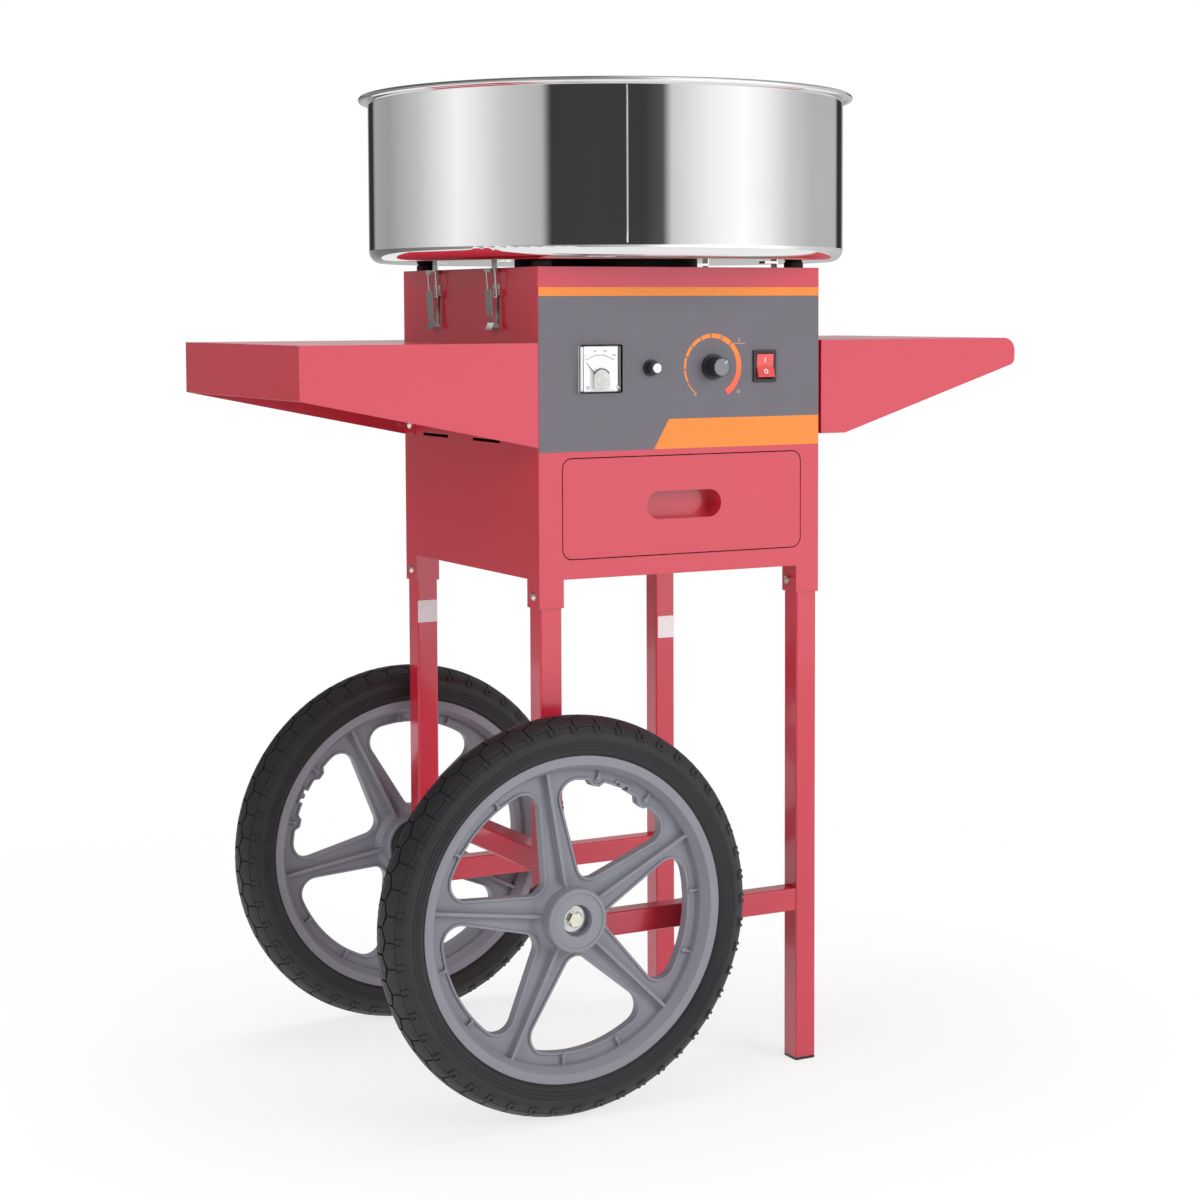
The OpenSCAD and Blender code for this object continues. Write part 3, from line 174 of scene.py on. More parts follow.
def mesh_piece(name, verts, faces, material, body, smooth=False):
    """Makes a piece with its faces outwards, and rides it on a body."""
    data = bpy.data.meshes.new(name)
    data.from_pydata([tuple(v) for v in verts], [], faces)
    data.materials.append(material)
    obj = bpy.data.objects.new(name, data)
    bpy.context.scene.collection.objects.link(obj)
    tidy = bmesh.new()
    tidy.from_mesh(data)
    bmesh.ops.remove_doubles(tidy, verts=tidy.verts, dist=1e-7)
    bmesh.ops.recalc_face_normals(tidy, faces=tidy.faces)
    tidy.to_mesh(data)
    tidy.free()
    for face in data.polygons:
        face.use_smooth = smooth
    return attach(obj, body)


def soften(obj, width, segments, angle):
    """Rounds the edges sharper than an angle in degrees, and shades the piece smooth."""
    bevel = obj.modifiers.new("edges", "BEVEL")
    bevel.width = width
    bevel.segments = segments
    bevel.limit_method = "ANGLE"
    bevel.angle_limit = math.radians(angle)
    bevel.harden_normals = True
    for face in obj.data.polygons:
        face.use_smooth = True


def outline_plate(name, outline, place, depth, material, body):
    """Extrudes a flat outline by depth; place turns (u, v, w) into a point of the frame."""
    count = len(outline)
    verts = [place(u, v, 0) for u, v in outline] + [place(u, v, depth) for u, v in outline]
    faces = [list(range(count)), list(range(2 * count - 1, count - 1, -1))]
    for i in range(count):
        j = (i + 1) % count
        faces.append([i, j, count + j, count + i])
    return mesh_piece(name, verts, faces, material, body)


def lathe(name, profile, place, material, body, steps, smooth=True):
    """Turns a profile of (radius, along) points about its own axis."""
    verts, faces = [], []
    for k in range(steps):
        turn = math.tau * k / steps
        for radius, along in profile:
            verts.append(place(radius * math.cos(turn), radius * math.sin(turn), along))
    size = len(profile)
    for k in range(steps):
        here, there = k * size, ((k + 1) % steps) * size
        for i in range(size - 1):
            faces.append([here + i, here + i + 1, there + i + 1, there + i])
    return mesh_piece(name, verts, faces, material, body, smooth)


def arc_points(radius, start, end, steps):
    """Points along an arc, in degrees anticlockwise from the right."""
    out = []
    for i in range(steps + 1):
        turn = math.radians(start + (end - start) * i / steps)
        out.append((radius * math.cos(turn), radius * math.sin(turn)))
    return out


def ring_sector(inner, outer, start, end, steps=6):
    """The outline of a piece of a flat ring."""
    return arc_points(outer, start, end, steps) + arc_points(inner, end, start, steps)


def rounded_box(half_width, half_height, corner, steps=4):
    """The outline of a flat box with round corners, about its middle."""
    out = []
    for side, level, start in ((1, 1, 0), (-1, 1, 90), (-1, -1, 180), (1, -1, 270)):
        for x, z in arc_points(corner, start, start + 90, steps):
            out.append((side * (half_width - corner) + x, level * (half_height - corner) + z))
    return out


def number(name, text, height, place, material, body):
    """A plain number as a thin mesh, centred on its place."""
    curve = bpy.data.curves.new(name, "FONT")
    curve.body = text
    curve.size = height / DIGIT_SHARE
    curve.align_x = "CENTER"
    curve.align_y = "CENTER"
    curve.extrude = NUMBER_LIFT / 2
    curve.resolution_u = 4
    shape = bpy.data.objects.new(name + "_curve", curve)
    bpy.context.scene.collection.objects.link(shape)
    solid = shape.evaluated_get(bpy.context.evaluated_depsgraph_get()).to_mesh()
    verts = [place(v.co.x, v.co.y, v.co.z + NUMBER_LIFT / 2) for v in solid.vertices]
    faces = [list(face.vertices) for face in solid.polygons]
    bpy.data.objects.remove(shape)
    return mesh_piece(name, verts, faces, material, body)


def turned_box(name, length, width, height, place, material, body):
    """A thin raised bar along u, centred on its place."""
    half, side = length / 2, width / 2
    outline = [(-half, -side), (half, -side), (half, side), (-half, side)]
    return outline_plate(name, outline, place, height, material, body)


def middle(node):
    """The middle of a node's box."""
    low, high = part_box(node)
    return (low + high) / 2


# Node trees, of the materials and of the world

def map_range(tree, source, low, high, start, end):
    """Turns low..high of a value into start..end."""
    node = tree.nodes.new("ShaderNodeMapRange")
    node.inputs["From Min"].default_value = low
    node.inputs["From Max"].default_value = high
    node.inputs["To Min"].default_value = start
    node.inputs["To Max"].default_value = end
    tree.links.new(source, node.inputs["Value"])
    return node.outputs["Result"]


def mix_shader(tree, fac, first, second):
    """The first node's shader where fac is 0, and the second's where it is 1."""
    mix = tree.nodes.new("ShaderNodeMixShader")
    tree.links.new(fac, mix.inputs["Fac"])
    tree.links.new(first.outputs[0], mix.inputs[1])
    tree.links.new(second.outputs[0], mix.inputs[2])
    return mix


def ray_mask(tree, kinds):
    """1 for rays of the named kinds, else 0."""
    path = tree.nodes.new("ShaderNodeLightPath")
    mask = path.outputs[kinds[0]]
    for kind in kinds[1:]:
        either = tree.nodes.new("ShaderNodeMath")
        either.operation = "MAXIMUM"
        tree.links.new(mask, either.inputs[0])
        tree.links.new(path.outputs[kind], either.inputs[1])
        mask = either.outputs[0]
    return mask


# Materials

class Finish:
    """A Principled material with helpers for procedural colour, roughness and bump."""

    def __init__(self, name, color, roughness, metallic=0.0):
        self.material = bpy.data.materials.new(name)
        self.material.use_nodes = True
        self.tree = self.material.node_tree
        self.shader = self.tree.nodes["Principled BSDF"]
        self.color = color
        self.set("Base Color", (*color, 1))
        self.set("Roughness", roughness)
        self.set("Metallic", metallic)
        self.place = self.add("ShaderNodeTexCoord").outputs["Object"]
        self.normal = None

    def add(self, kind, **values):
        node = self.tree.nodes.new(kind)
        for key, value in values.items():
            setattr(node, key, value)
        return node

    def link(self, a, b):
        self.tree.links.new(a, b)

    def set(self, name, value):
        self.shader.inputs[name].default_value = value

    def noise(self, scale, detail=3.0, stretch=(1, 1, 1)):
        mapping = self.add("ShaderNodeMapping")
        mapping.inputs["Scale"].default_value = stretch
        noise = self.add("ShaderNodeTexNoise")
        noise.inputs["Scale"].default_value = scale
        noise.inputs["Detail"].default_value = detail
        self.link(self.place, mapping.inputs["Vector"])
        self.link(mapping.outputs["Vector"], noise.inputs["Vector"])
        return noise.outputs["Fac"]

    def ramp(self, source, low, high, start=0.2, end=0.8):
        """Turns start..end of a value, by default the range of a noise, into low..high."""
        return map_range(self.tree, source, start, end, low, high)

    def mix(self, fac, first, second):
        """Mixes two colours, each a plain colour or a node's output."""
        mix = self.add("ShaderNodeMix", data_type="RGBA")
        self.link(fac, mix.inputs["Factor"])
        for socket, value in ((mix.inputs[6], first), (mix.inputs[7], second)):
            if hasattr(value, "is_linked"):
                self.link(value, socket)
            else:
                socket.default_value = (*value, 1)
        return mix.outputs[2]

    def mottle(self, scale, amount, detail=3.0, stretch=(1, 1, 1)):
        """Varies the base colour a little, darker and lighter."""
        dark = tuple(c * (1 - amount) for c in self.color)
        light = tuple(min(1, c * (1 + amount)) for c in self.color)
        blend = self.ramp(self.noise(scale, detail, stretch), 0, 1)
        self.link(self.mix(blend, dark, light), self.shader.inputs["Base Color"])
        return self

    def rough(self, scale, low, high, stretch=(1, 1, 1)):
        """Varies the roughness between low and high."""
        spread = self.ramp(self.noise(scale, 3, stretch), low, high)
        self.link(spread, self.shader.inputs["Roughness"])
        return self

    def edge(self, radius):
        """Rounds the shading of hard edges, as a bend or a moulding does."""
        bevel = self.add("ShaderNodeBevel", samples=4)
        bevel.inputs["Radius"].default_value = radius
        self.normal = bevel.outputs["Normal"]
        self.link(self.normal, self.shader.inputs["Normal"])
        return self

    def edge_highlight(self, color, amount):
        """Paints a paler colour along the edges that edge() rounds, in patches: a painted
        highlight.
        """
        # Painted highlight: the paler colour along the edges stands for the light that rounded
        # edges catch. Noise breaks it into patches.
        plain = self.add("ShaderNodeNewGeometry").outputs["Normal"]
        dot = self.add("ShaderNodeVectorMath", operation="DOT_PRODUCT")
        self.link(self.normal, dot.inputs[0])
        self.link(plain, dot.inputs[1])
        patches = self.ramp(self.noise(HIGHLIGHT_PATCH, 3), HIGHLIGHT_LEAST, 1)
        highlight_mask = self.add("ShaderNodeMath", operation="MULTIPLY")
        on_edge = self.ramp(dot.outputs["Value"], amount, 0, HIGHLIGHT_FULL, HIGHLIGHT_NONE)
        self.link(on_edge, highlight_mask.inputs[0])
        self.link(patches, highlight_mask.inputs[1])
        base = self.shader.inputs["Base Color"]
        under = base.links[0].from_socket
        self.link(self.mix(highlight_mask.outputs["Value"], under, color), base)
        return self

    def bump(self, height, strength, distance):
        """Raises the surface by a value, over the normal that edge() made."""
        bump = self.add("ShaderNodeBump")
        bump.inputs["Strength"].default_value = strength
        bump.inputs["Distance"].default_value = distance
        self.link(height, bump.inputs["Height"])
        if self.normal:
            self.link(self.normal, bump.inputs["Normal"])
        self.normal = bump.outputs["Normal"]
        self.link(self.normal, self.shader.inputs["Normal"])
        return self

    def coat(self, weight, roughness):
        self.set("Coat Weight", weight)
        self.set("Coat Roughness", roughness)
        return self


# In the finishes below, the paler colour given after edge() is a painted highlight along the
# edges.
def red_paint():
    paint = Finish("red_powder_coat", (0.56, 0.015, 0.036), 0.30)
    paint.set("Specular IOR Level", 0.85)
    paint.set("Specular Tint", (0.74, 0.86, 1.0, 1))
    paint.mottle(9, 0.025).edge(0.0008).edge_highlight((0.72, 0.09, 0.11), 0.5)
    paint.bump(paint.noise(650, 1), 0.12, 0.00005)
    paint.rough(14, 0.27, 0.31)
    return paint.coat(0.5, 0.07).material


def bowl_steel():
    steel = Finish("polished_bowl_steel", (0.80, 0.80, 0.80), 0.07, 1.0)
    steel.mottle(6, 0.03)
    streaks = steel.noise(5, 3, (1, 1, 60))
    steel.link(steel.ramp(streaks, 0.02, 0.055), steel.shader.inputs["Roughness"])
    waves = steel.noise(3.5, 1, (1, 1, 0.15))
    steel.bump(waves, 0.12, 0.002)
    return steel.material


def weld_line():
    steel = Finish("weld_line", (0.85, 0.85, 0.85), 0.32, 1.0)
    return steel.mottle(300, 0.08).rough(200, 0.25, 0.4).material


def sheet_steel():
    steel = Finish("galvanised_sheet", (0.55, 0.56, 0.57), 0.38, 1.0)
    steel.mottle(60, 0.10, 1).edge(0.0004).edge_highlight((0.7, 0.7, 0.7), 0.4)
    return steel.rough(80, 0.30, 0.46).material


def spun_aluminium():
    metal = Finish("spun_aluminium", (0.80, 0.81, 0.82), 0.28, 1.0)
    metal.mottle(30, 0.04, 2, (1, 1, 30)).edge(0.0004)
    return metal.rough(25, 0.22, 0.34, (1, 1, 40)).material


def plated_steel():
    metal = Finish("nickel_plate", (0.72, 0.70, 0.67), 0.16, 1.0)
    metal.mottle(160, 0.07).edge(0.0004).edge_highlight((0.85, 0.85, 0.84), 0.5)
    return metal.rough(120, 0.10, 0.22).material


def bright_steel():
    metal = Finish("turned_steel", (0.70, 0.70, 0.71), 0.22, 1.0)
    metal.mottle(200, 0.06).edge(0.0003)
    return metal.rough(300, 0.18, 0.28).material


def zinc_steel():
    metal = Finish("zinc_plate", (0.76, 0.73, 0.66), 0.25, 1.0)
    metal.mottle(150, 0.08).edge(0.0004).edge_highlight((0.85, 0.84, 0.8), 0.4)
    return metal.rough(90, 0.18, 0.32).material


def brass():
    metal = Finish("brass_rings", (0.70, 0.48, 0.20), 0.30, 1.0)
    return metal.mottle(90, 0.08).rough(80, 0.25, 0.4).material


def grey_enamel():
    paint = Finish("grey_enamel", (0.12, 0.125, 0.135), 0.45)
    paint.mottle(30, 0.08).edge(0.0006).edge_highlight((0.3, 0.3, 0.31), 0.4)
    return paint.bump(paint.noise(500, 2), 0.3, 0.0001).material


def printed_film():
    film = Finish("grey_printed_film", (0.133, 0.122, 0.146), 0.34)
    film.mottle(25, 0.05).rough(40, 0.30, 0.38)
    return film.bump(film.noise(1800, 2), 0.2, 0.00003).material


def black_plastic():
    plastic = Finish("black_plastic", (0.016, 0.016, 0.018), 0.36)
    plastic.mottle(60, 0.15).edge(0.0004).edge_highlight((0.07, 0.07, 0.075), 0.6)
    return plastic.bump(plastic.noise(1500, 2), 0.25, 0.00005).material


def grey_plastic():
    plastic = Finish("light_grey_plastic", (0.70, 0.70, 0.69), 0.40)
    plastic.mottle(60, 0.04).edge(0.0004)
    return plastic.bump(plastic.noise(1200, 2), 0.2, 0.00004).material


def dial_white():
    paper = Finish("dial_card", (0.88, 0.88, 0.88), 0.6)
    return paper.mottle(80, 0.02).rough(60, 0.55, 0.65).material


def clear_cover():
    clear = Finish("clear_styrene", (0.98, 0.985, 1.0), 0.02)
    clear.mottle(40, 0.008).rough(50, 0.01, 0.04)
    clear.set("Transmission Weight", 1.0)
    clear.set("IOR", 1.12)
    return clear.material


def pointer_lacquer():
    lacquer = Finish("pointer_lacquer", (0.30, 0.20, 0.20), 0.4)
    return lacquer.mottle(200, 0.06).rough(200, 0.35, 0.45).material


def red_plastic():
    plastic = Finish("red_switch_plastic", (0.70, 0.035, 0.030), 0.20)
    plastic.mottle(90, 0.08).edge(0.0005).edge_highlight((0.80, 0.16, 0.15), 0.6)
    plastic.set("Subsurface Weight", 0.15)
    plastic.set("Subsurface Radius", (0.003, 0.0008, 0.0006))
    plastic.rough(90, 0.16, 0.26)
    return plastic.coat(1.0, 0.05).material


def black_rubber():
    rubber = Finish("black_rubber", (0.015, 0.015, 0.016), 0.62)
    rubber.mottle(70, 0.2).edge(0.0006).edge_highlight((0.05, 0.05, 0.05), 0.5)
    return rubber.bump(rubber.noise(900, 2), 0.3, 0.00008).material


def wheel_plastic():
    plastic = Finish("grey_wheel_plastic", (0.238, 0.238, 0.276), 0.42)
    plastic.mottle(18, 0.05).edge(0.0011).edge_highlight((0.36, 0.36, 0.40), 0.35)
    plastic.bump(plastic.noise(800, 3), 0.4, 0.00008)
    return plastic.rough(30, 0.36, 0.48).material


def tyre_rubber():
    rubber = Finish("tyre_rubber", (0.015, 0.0145, 0.0165), 0.52)
    rubber.mottle(22, 0.18).edge(0.0007).edge_highlight((0.06, 0.058, 0.063), 0.5)
    rubber.bump(rubber.noise(420, 3), 0.4, 0.00018)
    return rubber.rough(16, 0.46, 0.60).material


def satin_grey():
    face = Finish("satin_knob_face", (0.20, 0.20, 0.225), 0.34)
    face.mottle(500, 0.12, 3, (1, 1, 3))
    return face.rough(400, 0.28, 0.42).material


def coil_plastic():
    plastic = Finish("smoky_plastic", (0.60, 0.59, 0.55), 0.25)
    return plastic.mottle(180, 0.25).rough(120, 0.2, 0.4).material


def ink(name, color, roughness=0.35):
    """Printed colour, with the faint unevenness of screen print. The dark one also serves as
    painted shade in the screw slots.
    """
    print_ = Finish(name, color, roughness)
    return print_.mottle(220, 0.05).rough(200, roughness - 0.04, roughness + 0.04).material


def dial_ink(low, high):
    """Orange print that turns to coral downwards, between two heights."""
    print_ = Finish("heat_band_print", (0.84, 0.25, 0.03), 0.35)
    height = print_.add("ShaderNodeSeparateXYZ")
    print_.link(print_.place, height.inputs["Vector"])
    fade = print_.ramp(height.outputs["Z"], 0, 1, low, high)
    speckle = print_.ramp(print_.noise(220), 0, 1)
    orange = print_.mix(speckle, (0.80, 0.235, 0.035), (0.88, 0.26, 0.035))
    coral = (0.86, 0.09, 0.085)
    print_.link(print_.mix(fade, coral, orange), print_.shader.inputs["Base Color"])
    return print_.rough(200, 0.31, 0.39).material


FINISHES = {
    "red_paint": red_paint,
    "bowl_steel": bowl_steel,
    "sheet_steel": sheet_steel,
    "spun_aluminium": spun_aluminium,
    "plated_steel": plated_steel,
    "bright_steel": bright_steel,
    "zinc_steel": zinc_steel,
    "brass": brass,
    "grey_paint": grey_enamel,
    "printed_film": printed_film,
    "black_plastic": black_plastic,
    "grey_plastic": grey_plastic,
    "dial_white": dial_white,
    "clear_cover": clear_cover,
    "needle_red": pointer_lacquer,
    "red_plastic": red_plastic,
    "black_rubber": black_rubber,
    "wheel_plastic": wheel_plastic,
    "tyre": tyre_rubber,
}
looks = {name: make() for name, make in FINISHES.items()}
orange_ink = ink("orange_print", (0.82, 0.245, 0.040))
tan_ink = ink("tan_print", (0.80, 0.42, 0.30))
white_ink = ink("white_print", (0.80, 0.78, 0.78))
# Dark print for the scale and its numbers, and painted shade for the screw slots
dark_ink_and_shade = ink("dark_print_and_slot_shade", (0.05, 0.05, 0.055))
blue_ink = ink("pale_blue_print", (0.42, 0.66, 0.74))
label_paper = ink("white_label", (0.84, 0.84, 0.85), 0.5)


def dress_nodes():
    """Gives every CAD node the finish that its material slot names."""
    for part in frame["record"]["subparts"]:
        data = nodes[part["node"]].data
        data.materials.clear()
        data.materials.append(looks[part["material_slot"]])


# Control panel

film_low, film_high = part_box("control_overlay")
film_y = film_low.y
knob_at = middle("heat_knob")
meter_at = middle("voltmeter_dial")
switch_at = middle("switch_body")


def on_film(x, z):
    """Places (u, v, w) in millimetres about a point of the film."""
    return lambda u, v, w: Vector((x + u * MM, film_y - w * MM, z + v * MM))


def film_print():
    """The orange bands of the printed film."""
    width = (film_high.x - film_low.x) / MM
    top = (film_high.z - film_low.z) / MM
    place = on_film(film_low.x, film_low.z)
    band = [(0, top - BAND_DEPTH), (width, top - BAND_DEPTH), (width, top), (0, top)]
    outline_plate("film_band", band, place, PRINT_LIFT, orange_ink, "cart")
    title = [
        (TITLE_LEFT, 0), (width, 0), (width, TITLE_DEPTH), (TITLE_LEFT + TITLE_SLANT, TITLE_DEPTH),
    ]
    outline_plate("film_title", title, place, PRINT_LIFT, orange_ink, "cart")


def heat_steps(place):
    """The first part of the arc round the heat knob: steps that grow from thin to thick."""
    for k in range(DIAL_STEPS):
        start = DIAL_START + k * DIAL_STEP
        width = DIAL_THIN + (DIAL_THICK - DIAL_THIN) * (k / (DIAL_STEPS - 1)) ** DIAL_SWELL
        sector = ring_sector(DIAL_OUTER - width, DIAL_OUTER, start, start + DIAL_STEP + DIAL_GAP)
        outline_plate(f"heat_step_{k}", sector, place, PRINT_LIFT, orange_ink, "cart")


def heat_band(place):
    """The last part of the arc: one long band that turns from orange to coral."""
    start = DIAL_START + DIAL_STEPS * DIAL_STEP
    outer = arc_points(DIAL_OUTER, start, BAND_END, BAND_STEPS)
    inner = []
    for i in range(BAND_STEPS + 1):
        radius = DIAL_OUTER - (DIAL_THICK + (BAND_END_WIDTH - DIAL_THICK) * i / BAND_STEPS)
        turn = math.radians(start + (BAND_END - start) * i / BAND_STEPS)
        inner.append((radius * math.cos(turn), radius * math.sin(turn)))
    verts, faces = [], []
    for w in (0, PRINT_LIFT):
        verts += [place(u, v, w) for u, v in outer] + [place(u, v, w) for u, v in inner]
    row = BAND_STEPS + 1
    for i in range(BAND_STEPS):
        faces.append([2 * row + i, 2 * row + i + 1, 3 * row + i + 1, 3 * row + i])
        faces.append([i, row + i, row + i + 1, i + 1])
        faces.append([i, i + 1, 2 * row + i + 1, 2 * row + i])
        faces.append([row + i, 3 * row + i, 3 * row + i + 1, row + i + 1])
    faces.append([0, 2 * row, 3 * row, row])
    faces.append([row - 1, 2 * row - 1, 4 * row - 1, 3 * row - 1])
    radius = DIAL_OUTER * MM
    warm = dial_ink(knob_at.z - radius, knob_at.z + BAND_ORANGE_FROM * radius)
    mesh_piece("heat_band", verts, faces, warm, "cart")


def heat_dial():
    """The heat scale round the knob: its arc, its tick and plain numbers."""
    place = on_film(knob_at.x, knob_at.z)
    heat_steps(place)
    heat_band(place)
    left, right, high, thick = DIAL_TICK
    tick = [(left, high), (right, high), (right, high + thick), (left, high + thick)]
    outline_plate("heat_tick", tick, place, PRINT_LIFT, tan_ink, "cart")
    for text, x, z in DIAL_NUMBERS:
        spot = on_film(knob_at.x + x * MM, knob_at.z + z * MM)
        number(f"heat_number_{text}", text, DIAL_NUMBER_H, spot, tan_ink, "cart")


def meter_scale():
    """Scale, ticks and plain numbers on the voltmeter's card."""
    card_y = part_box("voltmeter_dial")[0].y

    def place(u, v, w):
        return Vector((meter_at.x + u * MM, card_y - w * MM, meter_at.z + (SCALE_PIVOT + v) * MM))

    low, high = 90 - SCALE_HALF_ANGLE, 90 + SCALE_HALF_ANGLE
    line = ring_sector(SCALE_R, SCALE_R + SCALE_LINE, low, high, steps=24)
    outline_plate("scale_line", line, place, SCALE_INK, dark_ink_and_shade, "cart")
    for k in range(SCALE_TICKS + 1):
        turn = math.radians(high - (high - low) * k / SCALE_TICKS)
        reach, side = LONG_TICK if k % (SCALE_TICKS // 3) == 0 else SHORT_TICK
        inner, outer = SCALE_R + TICK_FOOT, SCALE_R + reach
        along, across = (math.cos(turn), math.sin(turn)), (-math.sin(turn), math.cos(turn))
        tick = [
            (r * along[0] + t * across[0], r * along[1] + t * across[1])
            for r, t in ((inner, -side), (outer, -side), (outer, side), (inner, side))
        ]
        outline_plate(f"scale_tick_{k}", tick, place, SCALE_INK, dark_ink_and_shade, "cart")
    first, last = high - SCALE_NUMBER_INSET, low + SCALE_NUMBER_INSET
    for k, text in enumerate(SCALE_NUMBERS):
        turn = math.radians(first - (first - last) * k / (len(SCALE_NUMBERS) - 1))
        radius = SCALE_R + SCALE_NUMBER_OUT
        spot = shifted(place, radius * math.cos(turn), radius * math.sin(turn))
        number(f"scale_number_{k}", text, SCALE_NUMBER_H, spot, dark_ink_and_shade, "cart")


def shifted(place, x, z):
    """The same placing about another middle."""
    return lambda u, v, w: place(x + u, z + v, w)


def meter_trim():
    """The coil's moulded cover behind the window, and the two screws through its corners."""
    window_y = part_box("voltmeter_window")[0].y
    hub_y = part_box("voltmeter_needle")[0].y
    back = hub_y - COIL_CLEAR * MM

    def place(u, v, w):
        return Vector((meter_at.x + u * MM, back - w * MM, meter_at.z + v * MM))

    dome = [(x, COIL_TOP - COIL_HALF + z) for x, z in arc_points(COIL_HALF, 0, 180, steps=24)]
    outline = [(-COIL_HALF, COIL_LOW), (COIL_HALF, COIL_LOW)] + dome
    cover = outline_plate("coil_cover", outline, place, COIL_T, coil_plastic(), "cart")
    soften(cover, COIL_ROUND * MM, segments=3, angle=35)
    rim = [
        (x, COIL_TOP - COIL_HALF + z)
        for x, z in ring_sector(COIL_HALF, COIL_HALF + COIL_RIM, *COIL_RIM_ARC, steps=24)
    ]
    outline_plate("coil_edge", rim, place, COIL_T, dark_ink_and_shade, "cart")
    meter_screw("left", -SCREW_X, window_y)
    meter_screw("right", SCREW_X, window_y)


def meter_screw(name, aside, window_y):
    """A small domed screw with a slanting slot, in a lower corner of the window. The slot is a
    dark bar on the head: painted shade where the recess would be.
    """
    def head(u, v, w):
        x = meter_at.x + (aside + u) * MM
        return Vector((x, window_y - w * MM, meter_at.z + (SCREW_Z + v) * MM))

    def slot(u, v, w):
        return head((u - v) * SLOT_SLANT, (u + v) * SLOT_SLANT, SLOT_LIFT + w)

    lathe(f"meter_screw_{name}", SCREW_HEAD, head, looks["plated_steel"], "cart", steps=32)
    # The slot is painted shade: a dark bar on the head instead of a cut recess.
    turned_box(f"meter_slot_shade_{name}", *SLOT_SIZE, slot, dark_ink_and_shade, "cart")


def knob_marks():
    """A satin face on the heat knob and its pale pointer."""
    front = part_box("heat_knob")[0].y

    def face(u, v, w):
        return Vector((knob_at.x + u * MM, front - w * MM, knob_at.z + v * MM))

    lathe("knob_face", KNOB_FACE, face, satin_grey(), "knob", steps=64)
    start, end, width, height = POINTER
    turn = math.radians(90 - POINTER_ANGLE)

    def pointer(u, v, w):
        r = (start + end) / 2 + u
        x = r * math.cos(turn) - v * math.sin(turn)
        z = r * math.sin(turn) + v * math.cos(turn)
        return face(x, z, w)

    turned_box("knob_pointer", end - start, width, height, pointer, blue_ink, "knob")


def rocker_face(side, panel_y):
    """Places (u, v, w) in millimetres about the middle of the rocker's upper or lower face."""
    rest = math.radians(-ROCKER_REST)
    ridge = Vector((ROCKER_RIDGE_Y, 0))
    tip = Vector((ROCKER_TIP_Y, side * ROCKER_TIP_Z))
    along = (tip - ridge).normalized()
    out = Vector((-abs(along.y), side * along.x))
    middle_at = ridge + (tip - ridge) * 0.5

    def place(u, v, w):
        y = middle_at.x + v * along.x + w * out.x
        z = middle_at.y + v * along.y + w * out.y
        return Vector((
            switch_at.x + u * MM,
            panel_y + (y * math.cos(rest) - z * math.sin(rest)) * MM,
            switch_at.z + (y * math.sin(rest) + z * math.cos(rest)) * MM,
        ))

    return place


def rocker_marks():
    """The stroke and the ring on the two faces of the rocker."""
    panel_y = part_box("front_panel")[0].y
    upper, lower = rocker_face(1, panel_y), rocker_face(-1, panel_y)
    wide, tall = STROKE_HALF_W, STROKE_HALF_H
    stroke = [(-wide, -tall), (wide, -tall), (wide, tall), (-wide, tall)]
    outline_plate("rocker_stroke", stroke, upper, MARK_T, white_ink, "rocker")
    inside, outside = RING_INNER, RING_OUTER
    ring = [(inside, 0), (inside, MARK_T), (outside, MARK_T), (outside, 0), (inside, 0)]
    lathe("rocker_ring", ring, lower, white_ink, "rocker", steps=40, smooth=False)


def leg_labels():
    """Bare white labels on the front faces of the two back legs."""
    for name, node, low, height, left, right in LABELS:
        box_low, box_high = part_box(node)
        face_y = box_high.y - LEG_WIDTH * MM
        outer = box_low.x if name.endswith("left") else box_high.x - LEG_WIDTH * MM
        x0, x1 = outer + left * MM, outer + (LEG_WIDTH - right) * MM
        middle_x = (x0 + x1) / 2
        half, tall = (x1 - x0) / 2 / MM, height / 2

        def place(u, v, w, middle_x=middle_x, face_y=face_y, low=low, tall=tall):
            return Vector((middle_x + u * MM, face_y - w * MM, (low + tall + v) * MM))

        outline = rounded_box(half, tall, LABEL_CORNER)
        outline_plate(name, outline, place, LABEL_T, label_paper, "cart")


def bowl_seam():
    """The polished weld seam that runs up the bowl's wall."""
    low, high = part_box("bowl")
    centre = (low + high) / 2
    wall = (high.x - low.x) / 2 - BOWL_RIM * MM
    turn = math.radians(SEAM_ANGLE)
    out = Vector((math.cos(turn), math.sin(turn), 0))
    across = Vector((-math.sin(turn), math.cos(turn), 0))
    verts, faces = [], []
    bottom, top = low.z + SEAM_START * MM, high.z - SEAM_END * MM
    for i in range(SEAM_ROWS + 1):
        z = bottom + (top - bottom) * i / SEAM_ROWS
        for u, h in SEAM_PROFILE:
            radius = wall + h * SEAM_H * MM - SEAM_SINK * MM
            spot = centre + out * radius + across * (u * SEAM_WIDTH / 2 * MM)
            verts.append((spot.x, spot.y, z))
    for i in range(SEAM_ROWS):
        for k in range(3):
            a = i * 4 + k
            faces.append([a, a + 1, a + 5, a + 4])
        faces.append([i * 4 + 3, i * 4, i * 4 + 4, i * 4 + 7])
    last = SEAM_ROWS * 4
    faces += [[0, 1, 2, 3], [last + 3, last + 2, last + 1, last]]
    mesh_piece("bowl_seam", verts, faces, weld_line(), "cart", smooth=True)


film_print()
heat_dial()
meter_scale()
meter_trim()
knob_marks()
rocker_marks()
leg_labels()
bowl_seam()
dress_nodes()


# Stage, lights and camera

